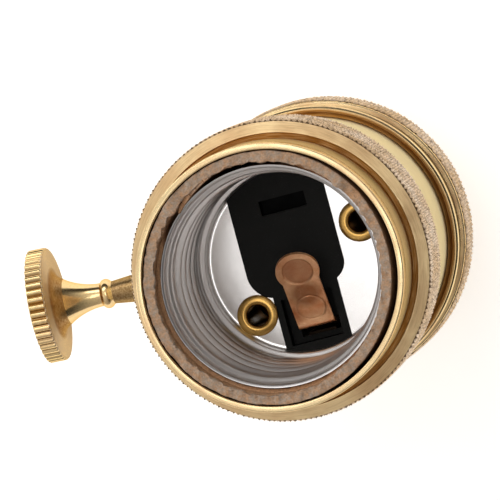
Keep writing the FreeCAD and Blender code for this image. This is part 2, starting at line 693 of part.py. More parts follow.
CROWN_ROUND = "((knob_radius - rim_edge) ^ 2 + knob_crown ^ 2) / (2 * knob_crown)"
BEAD_RISE = "(knob_bead - stem_waist)"
BEAD_ROUND = "(knob_bead_width ^ 2 / 4 + %s ^ 2) / (2 * %s)" % (BEAD_RISE, BEAD_RISE)
knob_body = turned("knob", [
    ("spindle_radius", "stem_start"),
    ("stem_base", "stem_start"),
    ("stem_waist", "bead_start"),
    ("stem_waist", "bead_end", BEAD_ROUND, 1),
    ("neck_radius", "bead_end"),
    ("trumpet_radius", "trumpet_end", "trumpet_round", -1),
    ("knob_radius - knob_shoulder", "trumpet_end + knob_face_rise"),
    ("knob_radius", "rim_start", "knob_shoulder", 1),
    ("knob_radius", "rim_end - rim_edge"),
    ("knob_radius - rim_edge", "rim_end"),
    ("0", "rim_end + knob_crown", CROWN_ROUND, 1),
    ("0", "stem_start + spindle_hold + tip_room"),
    ("spindle_radius", "stem_start + spindle_hold + tip_room"),
])
rib_sketch = knob_body.newObject("Sketcher::SketchObject", "rib_outline")
rib_sketch.AttachmentSupport = (origin_plane(knob_body, "XY_Plane"), [""])
rib_sketch.MapMode = "FlatFace"
bind(rib_sketch, **{"AttachmentOffset.Base.z": "rim_end + knob_crown"})
doc.recompute()
rib_half = "pi * knob_radius / rib_count * rib_groove_share"
add_outline(rib_sketch, [
    ("knob_radius - rib_depth", "0"),
    ("knob_radius + rib_depth", "-(%s)" % rib_half),
    ("knob_radius + rib_depth", rib_half),
])
rib_groove = knob_body.newObject("PartDesign::Pocket", "rib_groove")
rib_groove.Profile = rib_sketch
bind(rib_groove, Length="knob_rim + knob_crown")
rib_sketch.Visibility = False
doc.recompute()
ribs = knob_body.newObject("PartDesign::PolarPattern", "ribs")
ribs.Originals = [rib_groove]
ribs.Axis = (origin_plane(knob_body, "Z_Axis"), [""])
ribs.Angle = 360.0
bind(ribs, Occurrences="rib_count")
knob_body.Tip = ribs
doc.recompute()
OUTWARDS = FreeCAD.Rotation(FreeCAD.Vector(0, 1, 0), -90)
knob_body.Placement.Rotation = OUTWARDS
bind(knob_body, z="spindle_level")
node("knob", knob_body)

# Spindle and switch rotor

node("spindle", cylinder("spindle", "spindle_radius - rotor_grip",
                         "stem_start + spindle_hold + spindle_inner", x="-stem_start - spindle_hold",
                         z="spindle_level", rotation=ALONG_X))

rotor_blank = doc.addObject("Part::Common", "rotor_blank")
rotor_blank.Base = cylinder("rotor_round", "rotor_radius", "rotor_left + rotor_right", x="-rotor_left",
                            z="spindle_level", rotation=ALONG_X)
rotor_blank.Tool = box("rotor_flats", ("-rotor_left", "-rotor_flat / 2", "spindle_level - rotor_radius"),
                       ("rotor_right", "rotor_flat / 2", "spindle_level + rotor_radius"))
node("rotor", cut("rotor", rotor_blank,
     cylinder("rotor_bore", "spindle_radius", "rotor_left + rotor_right", x="-rotor_left",
              z="spindle_level", rotation=ALONG_X)))

# Switch: the spring leaf under the rotor, and the fixed contact beneath its free end

node("switch_leaf", box("switch_leaf", ("-leaf_width / 2", "-leaf_free_end", "leaf_under"),
                        ("leaf_width / 2", "leaf_live_end", "leaf_top")))
fixed_low = "leaf_under - leaf_thickness"
fixed_contact = fuse("fixed_contact", [
    box("fixed_tongue", ("-fixed_width / 2", "-shaft_far", fixed_low),
        ("fixed_width / 2", "-shaft_far + fixed_reach", "leaf_under")),
    box("fixed_riser", ("-fixed_width / 2", "-shaft_far", fixed_low),
        ("fixed_width / 2", "-shaft_far + leaf_thickness", "body_top - fixed_drop")),
])
node("fixed_contact", turn_about_axis(fixed_contact, "contact_angle"))


# Terminals: a block with a cross hole for the wire and a clamping screw from below

def terminal_block(name, x, y, top):
    """A block with its top face at the given height, bored for its screw and its wire."""
    low = "(%s) - terminal_drop" % top
    blank = box(name + "_blank", ("(%s) - terminal_width / 2" % x, "(%s) - terminal_depth / 2" % y, low),
                ("(%s) + terminal_width / 2" % x, "(%s) + terminal_depth / 2" % y, top))
    bores = fuse(name + "_bores", [
        cylinder(name + "_screw_bore", "screw_radius", "screw_length + tip_room", x=x, y=y, z=low),
        cylinder(name + "_wire_bore", "terminal_hole", "terminal_width",
                 x="(%s) - terminal_width / 2" % x, y=y,
                 z="%s + screw_length + terminal_hole" % low, rotation=ALONG_X),
    ])
    return cut(name, blank, bores)


def terminal_screw(name, x, y, top):
    screw = slotted_screw(name, "screw_head", "screw_head_height", "screw_radius", "screw_length")
    screw.Placement.Rotation = FreeCAD.Rotation(FreeCAD.Vector(1, 0, 0), 180)
    return bind(screw, x=x, y=y, z="(%s) - terminal_drop - screw_head_height" % top)


live_y = "live_near + terminal_depth / 2"
node("live_terminal", terminal_block("live_terminal", "0", live_y, "leaf_under"))
node("live_screw", terminal_screw("live_screw", "0", live_y, "leaf_under"))

neutral_under = "body_under - plate_thickness"
neutral_body = fuse("neutral_body", [
    terminal_block("neutral_block", "neutral_x", "neutral_y", neutral_under),
    box("neutral_plate", ("neutral_x - terminal_width / 2", "neutral_y - terminal_depth / 2", neutral_under),
        ("neutral_x + terminal_width / 2", "right_eyelet_y", "body_under")),
    cylinder("neutral_eye", "eyelet_lip + plate_margin", "plate_thickness", x="right_eyelet_x",
             y="right_eyelet_y", z=neutral_under),
])
node("neutral_terminal", cut("neutral_terminal", neutral_body,
     fuse("neutral_openings", eyelet_holes("neutral_hole"))))
node("neutral_screw", terminal_screw("neutral_screw", "neutral_x", "neutral_y", neutral_under))

# Check every object, then write one file for each piece

doc.recompute()
faults = [thing.Name for thing in doc.Objects if "Invalid" in thing.State or "Error" in thing.State]
for piece in NODES:
    if piece.Shape.isNull() or not piece.Shape.isValid() or not piece.Shape.Solids:
        faults.append(piece.Label)
if faults:
    raise RuntimeError("failed: " + ", ".join(faults))
for piece in NODES:
    piece.Shape.exportStep(os.path.join("parts", piece.Label + ".step"))
    print("%-18s %d solid(s) %9.2f mm3" % (piece.Label, len(piece.Shape.Solids), piece.Shape.Volume))
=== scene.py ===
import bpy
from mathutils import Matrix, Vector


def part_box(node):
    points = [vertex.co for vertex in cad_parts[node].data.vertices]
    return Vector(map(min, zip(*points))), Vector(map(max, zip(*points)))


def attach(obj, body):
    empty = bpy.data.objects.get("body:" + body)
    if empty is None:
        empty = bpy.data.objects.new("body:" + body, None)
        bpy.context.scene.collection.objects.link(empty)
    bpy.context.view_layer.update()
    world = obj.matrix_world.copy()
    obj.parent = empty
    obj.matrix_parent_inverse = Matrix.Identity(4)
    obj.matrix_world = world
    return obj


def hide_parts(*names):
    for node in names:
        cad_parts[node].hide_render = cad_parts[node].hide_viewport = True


bl_info = {
    "name": "Brass lamp holder",
    "version": (1, 0, 0),
    "blender": (4, 5, 0),
    "location": "3D View > Sidebar > Lamp holder",
    "description": "Turned and knurled brass, fibre, rolled shell and mouldings on the packed lamp holder",
    "category": "Object",
}

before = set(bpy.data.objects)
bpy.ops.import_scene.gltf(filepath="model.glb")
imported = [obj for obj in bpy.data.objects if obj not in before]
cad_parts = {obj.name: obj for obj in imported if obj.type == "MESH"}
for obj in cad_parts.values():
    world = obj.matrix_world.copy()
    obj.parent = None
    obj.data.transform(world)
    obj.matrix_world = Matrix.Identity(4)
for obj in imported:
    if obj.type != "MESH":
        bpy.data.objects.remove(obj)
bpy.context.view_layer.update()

import math
from functools import partial

import bmesh
import bpy
from bpy.props import FloatProperty, FloatVectorProperty, IntProperty, PointerProperty
from bpy.types import Operator, Panel, PropertyGroup
from mathutils import Matrix, Vector, noise

MM = 0.001
TAU = 2 * math.pi


def top_of(node):
    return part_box(node)[1]


def foot_of(node):
    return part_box(node)[0]


# sizes and colours

def linear(code):
    """An sRGB hex colour as the linear numbers that shaders take."""
    parts = [int(code[i:i + 2], 16) / 255 for i in (1, 3, 5)]
    return tuple(p / 12.92 if p <= 0.04045 else ((p + 0.055) / 1.055) ** 2.4 for p in parts)


def darker(colour, share):
    return tuple(c * share for c in colour)


def length(name, mm, note):
    return FloatProperty(name=name, description=note, default=mm * MM, min=0.0, precision=5, unit="LENGTH")


def whole(name, default, least, most, note):
    return IntProperty(name=name, description=note, default=default, min=least, max=most)


def tint(name, code, note):
    return FloatVectorProperty(name=name, description=note, default=linear(code), size=3, subtype="COLOR",
                               min=0.0, max=1.0)


class HolderSizes(PropertyGroup):
    """Sizes of the turned bodies, the liner and the shell."""
    segments: whole("Turning steps", 240, 48, 720, "Facets round each turned piece")
    barrel: length("Barrel radius", 17.2, "Plain tube behind the front band")
    bore: length("Barrel bore", 16.0, "Inside of the barrel")
    nose: length("Nose radius", 16.8, "Thin nose round the mouth")
    band: length("Front band radius", 19.2, "Over the knurl of the front band")
    rear_band: length("Rear band radius", 19.4, "Over the knurl of the rear band")
    collar: length("Collar radius", 18.3, "Plain collar in front of the rear band")
    boss: length("Boss radius", 8.0, "Inlet boss")
    inlet: length("Inlet radius", 4.5, "Crests of the inlet thread")
    liner: length("Liner radius", 15.65, "Outside of the fibre tube")
    liner_wall: length("Liner wall", 1.15, "Thickness of the fibre tube")
    sheet: length("Shell sheet", 0.4, "Thickness of the aluminium sheet")
    thread_middle: length("Thread radius", 13.15, "Middle of the rolled wall")
    thread_swing: length("Thread swing", 0.5, "Half the depth of the lamp thread")
    thread_pitch: length("Thread pitch", 3.629, "Pitch of the lamp thread")
    knurl_depth: length("Knurl depth", 0.35, "Height of the knurl's teeth")
    front_teeth: whole("Front knurl teeth", 178, 20, 400, "Teeth round the front band")
    rear_teeth: whole("Rear knurl teeth", 122, 20, 400, "Teeth round the rear band")
    ribs: whole("Knob ribs", 46, 8, 120, "Ribs round the knob")
    rib_depth: length("Rib depth", 0.32, "Groove between the knob's ribs")


class HolderColours(PropertyGroup):
    """Colours of the finishes."""
    brass: tint("Turned brass", "#F5DBA9", "Clean turned brass")
    brass_warm: tint("Warm brass", "#EAC596", "Pinkish tarnish on the turned brass")
    # this brown is dirt in the turning marks, dirt and painted shade between the knob's ribs, painted shade on
    # the knob's stem and the cap's collar, and it darkens the nose's groove
    brass_dirt_and_shade: tint("Brass dirt and shade", "#6E4A22", "Brown dirt and painted shade in grooves and knurls")
    # this orange-brown is painted shade in the coves of the barrel and the cap
    brass_cove_shade: tint("Brass cove shade", "#AB6F22", "Orange-brown painted shade in coves and corners")
    knob_face: tint("Knob face", "#CDBBA4", "Speckled film on the knob's inner face")
    # this pale cream is a painted reflection on the barrel's tube
    tube_reflection: tint("Tube reflection", "#EFE6C0", "Pale painted reflection on the barrel's tube")
    knurl: tint("Knurl brass", "#F3DFCA", "Pinkish brass of the knurled bands")
    # this brown is dirt and painted shade between the teeth and at the front band's edge
    knurl_dirt_and_shade: tint("Knurl dirt and shade", "#5A422C", "Dirt and painted shade between the teeth")
    knob: tint("Knob brass", "#F4D69A", "Polished brass of the knob")
    fibre: tint("Fibre", "#C89A72", "Wall of the fibre tube")
    fibre_edge: tint("Torn fibre", "#B9A694", "Rough-cut end of the fibre tube")
    aluminium: tint("Aluminium", "#F4F1EF", "Rolled sheet of the shell")
    moulding: tint("Moulding", "#272726", "Black thermoset of the mouldings")
    copper: tint("Copper", "#FFCFA0", "Sprung centre contact")
    copper_dark: tint("Dark copper", "#DE9568", "Handled copper")
    eyelet: tint("Eyelet brass", "#DCAE62", "Rolled eyelets")
    floor: tint("Floor", "#F4F3F1", "Plain stage")


# node trees

WHOLE_NUMBERS = ("Teeth", "Rows", "Ribs", "Count", "Seed")


def feed(node, inputs):
    """Set or link a node's inputs, by key or in order; a node given stands for its first output in use."""
    for key, value in inputs.items() if isinstance(inputs, dict) else enumerate(inputs):
        if isinstance(value, bpy.types.Node):
            value = next(socket for socket in value.outputs if socket.enabled)
        if isinstance(value, bpy.types.NodeSocket):
            node.id_data.links.new(value, node.inputs[key])
        else:
            node.inputs[key].default_value = value


def add_node(tree, kind, inputs=(), operation=None, **settings):
    """Add a node with its operation and its settings to a tree and feed its inputs."""
    made = tree.nodes.new(kind)
    if operation:
        made.operation = operation
    for key, value in settings.items():
        setattr(made, key, value)
    feed(made, inputs)
    return made


def new_geometry_tree(name, *labels):
    """A geometry tree with the named inputs: what adds to it, its inputs and its output node."""
    tree = bpy.data.node_groups.new(name, "GeometryNodeTree")
    tree.interface.new_socket("Geometry", in_out="OUTPUT", socket_type="NodeSocketGeometry")
    kinds = {"Geometry": "Geometry", "Material": "Material", **dict.fromkeys(WHOLE_NUMBERS, "Int")}
    for label in ("Geometry", *labels, "Material"):
        tree.interface.new_socket(label, in_out="INPUT", socket_type="NodeSocket" + kinds.get(label, "Float"))
    add = partial(add_node, tree)
    return add, add("NodeGroupInput").outputs, add("NodeGroupOutput")


def close_tree(add, given, leave, made):
    """Realize what a tree has made, give it the material and pass it out."""
    joined = add("GeometryNodeRealizeInstances", {"Geometry": made})
    finish = add("GeometryNodeSetMaterial", {"Geometry": joined, "Material": given["Material"]})
    feed(leave, (finish,))
    return leave.id_data


def settle(piece):
    """Turn what the piece's modifiers make into its own plain mesh."""
    graph = bpy.context.evaluated_depsgraph_get()
    result = bpy.data.meshes.new_from_object(piece.evaluated_get(graph), depsgraph=graph)
    piece.modifiers.clear()
    old = piece.data
    result.name = piece.name
    piece.data = result
    bpy.data.meshes.remove(old)
    return piece


def run_tree(piece, tree, values):
    """Run a geometry tree on a piece, its inputs set by their sockets' identifiers, and keep the mesh."""
    step = piece.modifiers.new(tree.name, "NODES")
    step.node_group = tree
    for item in tree.interface.items_tree:
        if item.item_type == "SOCKET" and item.in_out == "INPUT" and item.name in values:
            step[item.identifier] = values[item.name]
    return settle(piece)


def split_round_z(add, spot):
    """A position's parts, its distance from Z and the way outwards from Z."""
    part = add("ShaderNodeSeparateXYZ", (spot,))
    flat = add("ShaderNodeCombineXYZ", (part.outputs[0], part.outputs[1]))
    reach = add("ShaderNodeVectorMath", (flat,), "LENGTH")
    return part, reach, add("ShaderNodeVectorMath", (flat,), "NORMALIZE")


def put_round_z(add, points, angle, radius, height):
    """Points moved to an angle, a radius and a height about Z, and the way outwards at each."""
    cosine = add("ShaderNodeMath", (angle,), "COSINE")
    sine = add("ShaderNodeMath", (angle,), "SINE")
    outwards = add("ShaderNodeCombineXYZ", (cosine, sine))
    foot = add("ShaderNodeVectorMath", {0: outwards, "Scale": radius}, "SCALE")
    up = add("ShaderNodeCombineXYZ", {2: height})
    place = add("ShaderNodeVectorMath", (foot, up), "ADD")
    return add("GeometryNodeSetPosition", {"Geometry": points, "Position": place}), outwards


def knurl_tree():
    """Rows of four-sided teeth laid round a band, each row half a tooth on from the last."""
    add, given, leave = new_geometry_tree("Diamond knurl", "Root Radius", "Depth", "Low Edge", "Row Height",
                                          "Teeth", "Rows", "Crest", "Seed")
    count = add("ShaderNodeMath", (given["Teeth"], given["Rows"]), "MULTIPLY")
    points = add("GeometryNodePoints", {"Count": count})
    index = add("GeometryNodeInputIndex")
    rounds = add("ShaderNodeMath", (index, given["Teeth"]), "DIVIDE")
    row = add("ShaderNodeMath", (rounds,), "FLOOR")
    odd = add("ShaderNodeMath", (row, 2.0), "MODULO")
    stagger = add("ShaderNodeMath", (odd, 0.5, index), "MULTIPLY_ADD")
    per_tooth = add("ShaderNodeMath", (TAU, given["Teeth"]), "DIVIDE")
    angle = add("ShaderNodeMath", (stagger, per_tooth), "MULTIPLY")
    rise = add("ShaderNodeMath", (row, 1.0), "ADD")
    height = add("ShaderNodeMath", (rise, given["Row Height"], given["Low Edge"]), "MULTIPLY_ADD")
    placed, outwards = put_round_z(add, points, angle, given["Root Radius"], height)
    turn = add("FunctionNodeAxesToRotation", {"Primary Axis": outwards, "Secondary Axis": (0.0, 0.0, 1.0)},
               primary_axis="Z", secondary_axis="Y")
    # no two teeth stand quite alike
    tilt = add("FunctionNodeRandomValue", {0: (-0.3, -0.3, -0.1), 1: (0.3, 0.3, 0.1), "Seed": given["Seed"]},
               data_type="FLOAT_VECTOR")
    tilted = add("FunctionNodeEulerToRotation", (tilt,))
    leaning = add("FunctionNodeRotateRotation", (turn, tilted), rotation_space="LOCAL")
    half_arc = add("ShaderNodeMath", (per_tooth, 0.5), "MULTIPLY")
    half_width = add("ShaderNodeMath", (half_arc, given["Root Radius"]), "MULTIPLY")
    stretch = add("ShaderNodeCombineXYZ", (half_width, given["Row Height"], given["Depth"]))
    tooth = add("GeometryNodeMeshCone", {"Vertices": 4, "Radius Top": given["Crest"], "Radius Bottom": 1.0,
                                         "Depth": 1.0}, fill_type="NGON")
    teeth = add("GeometryNodeInstanceOnPoints", {"Points": placed, "Instance": tooth, "Rotation": leaning,
                                                 "Scale": stretch})
    return close_tree(add, given, leave, teeth)


def thread_tree():
    """Roll a right-hand thread into a turned wall between two heights, within two radii."""
    add, given, leave = new_geometry_tree("Rolled thread", "Pitch", "Swing", "Low End", "High End", "Fade",
                                          "Inner Radius", "Outer Radius")
    part, reach, outwards = split_round_z(add, add("GeometryNodeInputPosition"))
    x, y, z = part.outputs
    angle = add("ShaderNodeMath", (y, x), "ARCTAN2")
    climb = add("ShaderNodeMath", (z, given["Pitch"]), "DIVIDE")
    phase = add("ShaderNodeMath", (climb, -TAU, angle), "MULTIPLY_ADD")
    wave = add("ShaderNodeMath", (phase,), "COSINE")
    swing = add("ShaderNodeMath", (wave, given["Swing"]), "MULTIPLY")
    for end, inwards in (("Low End", "ADD"), ("High End", "SUBTRACT")):
        full = add("ShaderNodeMath", (given[end], given["Fade"]), inwards)
        grow = add("ShaderNodeMapRange", (z, given[end], full), interpolation_type="SMOOTHSTEP")
        swing = add("ShaderNodeMath", (swing, grow), "MULTIPLY")
    move = add("ShaderNodeVectorMath", {0: outwards, "Scale": swing}, "SCALE")
    beyond = add("FunctionNodeCompare", {"A": reach, "B": given["Inner Radius"]}, "GREATER_THAN")
    within = add("FunctionNodeCompare", {"A": reach, "B": given["Outer Radius"]}, "LESS_THAN")
    both = add("FunctionNodeBooleanMath", (beyond, within), "AND")
    rolled = add("GeometryNodeSetPosition", {"Geometry": given["Geometry"], "Selection": both, "Offset": move})
    return close_tree(add, given, leave, rolled)


def rib_tree():
    """Press rounded ribs into the rim of a disc that is turned about Z."""
    add, given, leave = new_geometry_tree("Knob ribs", "Ribs", "Depth", "Rim Start", "Rim Full",
                                          "Smallest Radius")
    part, reach, outwards = split_round_z(add, add("GeometryNodeInputPosition"))
    x, y, z = part.outputs
    angle = add("ShaderNodeMath", (y, x), "ARCTAN2")
    half = add("ShaderNodeMath", (given["Ribs"], 0.5), "MULTIPLY")
    phase = add("ShaderNodeMath", (angle, half), "MULTIPLY")
    wave = add("ShaderNodeMath", (phase,), "COSINE")
    crest = add("ShaderNodeMath", (wave,), "ABSOLUTE")
    gap = add("ShaderNodeMath", (crest, 4.0), "POWER")
    grow = add("ShaderNodeMapRange", (z, given["Rim Start"], given["Rim Full"]),
               interpolation_type="SMOOTHSTEP")
    cut = add("ShaderNodeMath", (gap, grow), "MULTIPLY")
    sunk = add("ShaderNodeMath", (given["Depth"], -1.0), "MULTIPLY")
    depth = add("ShaderNodeMath", (cut, sunk), "MULTIPLY")
    move = add("ShaderNodeVectorMath", {0: outwards, "Scale": depth}, "SCALE")
    at_rim = add("FunctionNodeCompare", {"A": reach, "B": given["Smallest Radius"]}, "GREATER_THAN")
    ribbed = add("GeometryNodeSetPosition", {"Geometry": given["Geometry"], "Selection": at_rim,
                                             "Offset": move})
    return close_tree(add, given, leave, ribbed)


def tuft_tree():
    """Fine torn fibres round the end of a tube, each with its own lean and length."""
    add, given, leave = new_geometry_tree("Torn fibres", "Count", "Radius", "Spread", "Height",
                                          "Fibre Length", "Fibre Width", "Seed")
    points = add("GeometryNodePoints", {"Count": given["Count"]})
    # each draw has a seed of its own, one on from the last
    second, third, fourth = [add("ShaderNodeMath", (given["Seed"], k), "ADD")
                             for k in (1.0, 2.0, 3.0)]
    angle = add("FunctionNodeRandomValue", {2: 0.0, 3: TAU, "Seed": given["Seed"]}, data_type="FLOAT")
    share = add("FunctionNodeRandomValue", {"Seed": second}, data_type="FLOAT")
    radius = add("ShaderNodeMath", (share, given["Spread"], given["Radius"]), "MULTIPLY_ADD")
    placed = put_round_z(add, points, angle, radius, given["Height"])[0]
    lean = add("FunctionNodeRandomValue", {0: (-1.1, -1.1, -math.pi), 1: (1.1, 1.1, math.pi), "Seed": third},
               data_type="FLOAT_VECTOR")
    stretch = add("FunctionNodeRandomValue", {2: 0.35, 3: 1.0, "Seed": fourth}, data_type="FLOAT")
    fibre = add("GeometryNodeMeshCone", {"Vertices": 4, "Side Segments": 2, "Radius Top": 0.0,
                                         "Radius Bottom": given["Fibre Width"],
                                         "Depth": given["Fibre Length"]}, fill_type="NGON")
    fibres = add("GeometryNodeInstanceOnPoints", {"Points": placed, "Instance": fibre, "Rotation": lean,
                                                  "Scale": stretch})
    return close_tree(add, given, leave, fibres)


# meshes

def arc(start, end, radius, sense, steps=12):
    """The points of an arc after its start, sense 1 anticlockwise in radius and height."""
    dx, dy = end[0] - start[0], end[1] - start[1]
    chord = math.hypot(dx, dy)
    rise = math.sqrt(max(radius ** 2 - (chord / 2) ** 2, 0.0))
    cx = (start[0] + end[0]) / 2 - dy / chord * rise * sense
    cy = (start[1] + end[1]) / 2 + dx / chord * rise * sense
    first = math.atan2(start[1] - cy, start[0] - cx)
    last = math.atan2(end[1] - cy, end[0] - cx)
    sweep = (last - first) % TAU if sense > 0 else -((first - last) % TAU)
    return [(cx + radius * math.cos(first + sweep * i / steps),
             cy + radius * math.sin(first + sweep * i / steps)) for i in range(1, steps + 1)]


def softened(corners, steps=4):
    """Round each corner (radius, height, break) by its break in mm; corners without one stay sharp."""
    points = []
    for i, corner in enumerate(corners):
        here = Vector(corner[:2])
        if len(corner) < 3:
            points.append(tuple(here))
            continue
        before = Vector(corners[i - 1][:2]) - here
        after = Vector(corners[(i + 1) % len(corners)][:2]) - here
        reach = min(corner[2] * MM, before.length * 0.49, after.length * 0.49)
        begin, finish = here + before.normalized() * reach, here + after.normalized() * reach
        for k in range(steps + 1):
            t = k / steps
            points.append(tuple(begin * (1 - t) ** 2 + here * 2 * t * (1 - t) + finish * t ** 2))
    return points


def divided(points, longest):
    """The same closed outline with no stretch longer than the given length."""
    result = []
    for i, point in enumerate(points):
        after = points[(i + 1) % len(points)]
        result.append(point)
        if point[0] < 1e-7 and after[0] < 1e-7:
            continue
        parts = math.ceil(math.dist(point, after) / longest)
        for k in range(1, parts):
            result.append((point[0] + (after[0] - point[0]) * k / parts,
                           point[1] + (after[1] - point[1]) * k / parts))
    return result


def object_from(name, verts, faces):
    mesh = bpy.data.meshes.new(name)
    mesh.from_pydata(verts, [], faces)
    work = bmesh.new()
    work.from_mesh(mesh)
    bmesh.ops.remove_doubles(work, verts=work.verts, dist=1e-7)
    bmesh.ops.recalc_face_normals(work, faces=work.faces)
    work.to_mesh(mesh)
    work.free()
    piece = bpy.data.objects.new(name, mesh)
    bpy.context.scene.collection.objects.link(piece)
    return piece


def clamped(value):
    return max(0.0, min(1.0, value))


def carrier(name):
    """A small triangle that a geometry tree replaces by what it makes."""
    return object_from(name, [(0, 0, 0), (MM, 0, 0), (0, MM, 0)], [(0, 1, 2)])


def turned(name, outline, segments):
    """A closed piece turned about Z from a closed outline of (radius, height)."""
    verts, rings = [], []
    for radius, height in outline:
        if radius < 1e-7:
            rings.append([len(verts)] * segments)
            verts.append((0.0, 0.0, height))
            continue
        rings.append([len(verts) + k for k in range(segments)])
        verts += [(radius * math.cos(TAU * k / segments), radius * math.sin(TAU * k / segments), height)
                  for k in range(segments)]
    faces = []
    for i, ring in enumerate(rings):
        after = rings[(i + 1) % len(rings)]
        for k in range(segments):
            n = (k + 1) % segments
            corners = []
            for corner in (ring[k], ring[n], after[n], after[k]):
                if corner not in corners:
                    corners.append(corner)
            if len(corners) > 2:
                faces.append(corners)
    return object_from(name, verts, faces)


def prism(name, outline, low, high):
    """An upright prism over a closed outline of (x, y)."""
    count = len(outline)
    verts = [(x, y, low) for x, y in outline] + [(x, y, high) for x, y in outline]
    faces = [list(range(count - 1, -1, -1)), list(range(count, 2 * count))]
    faces += [[i, (i + 1) % count, count + (i + 1) % count, count + i] for i in range(count)]
    return object_from(name, verts, faces)


def rod(name, radius, low, high, matrix, steps=48):
    """A plain round cutter along its own Z, put in place by a matrix."""
    circle = [(radius * math.cos(TAU * k / steps), radius * math.sin(TAU * k / steps)) for k in range(steps)]
    cutter = prism(name, circle, low, high)
    cutter.data.transform(matrix)
    return cutter


def cut_away(piece, *cutters):
    """Take the cutters out of a piece and remove them."""
    for cutter in cutters:
        step = piece.modifiers.new(cutter.name, "BOOLEAN")
        step.object = cutter
        step.operation = "DIFFERENCE"
        step.solver = "EXACT"
    settle(piece)
    for cutter in cutters:
        mesh = cutter.data
        bpy.data.objects.remove(cutter)
        bpy.data.meshes.remove(mesh)
    return piece


def smooth(piece, degrees=34.0):
    """Smooth shading, with edges sharper than the angle kept crisp."""
    piece.data.shade_smooth()
    piece.data.set_sharp_from_angle(angle=math.radians(degrees))
    return piece


def fit_out(piece, body, slot, material, *nodes):
    """Give a finished piece its material and its body, and hide the solids that it stands for; slot is not
    used.
    """
    piece.data.materials.clear()
    piece.data.materials.append(material)
    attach(piece, body)
    if nodes:
        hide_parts(*nodes)
    return piece


# materials

def begin_material(name):
    """A material, what adds to its tree, its shader and its object coordinates; no shader if it is old."""
    found = bpy.data.materials.get(name)
    if found:
        return found, None, None, None
    material = bpy.data.materials.new(name)
    material.use_nodes = True
    material.node_tree.nodes.clear()
    add = partial(add_node, material.node_tree)
    shader = add("ShaderNodeBsdfPrincipled")
    add("ShaderNodeOutputMaterial", {"Surface": shader})
    return material, add, shader, add("ShaderNodeTexCoord").outputs["Object"]


def film_over(add, base, colour, driver, run):
    """A base colour under a film of another, whose share runs with a driver: from, from, to, to."""
    share = add("ShaderNodeMapRange", (driver, *run))
    return add("ShaderNodeMix", {"Factor": share, "A": base, "B": (*colour, 1.0)}, data_type="RGBA")


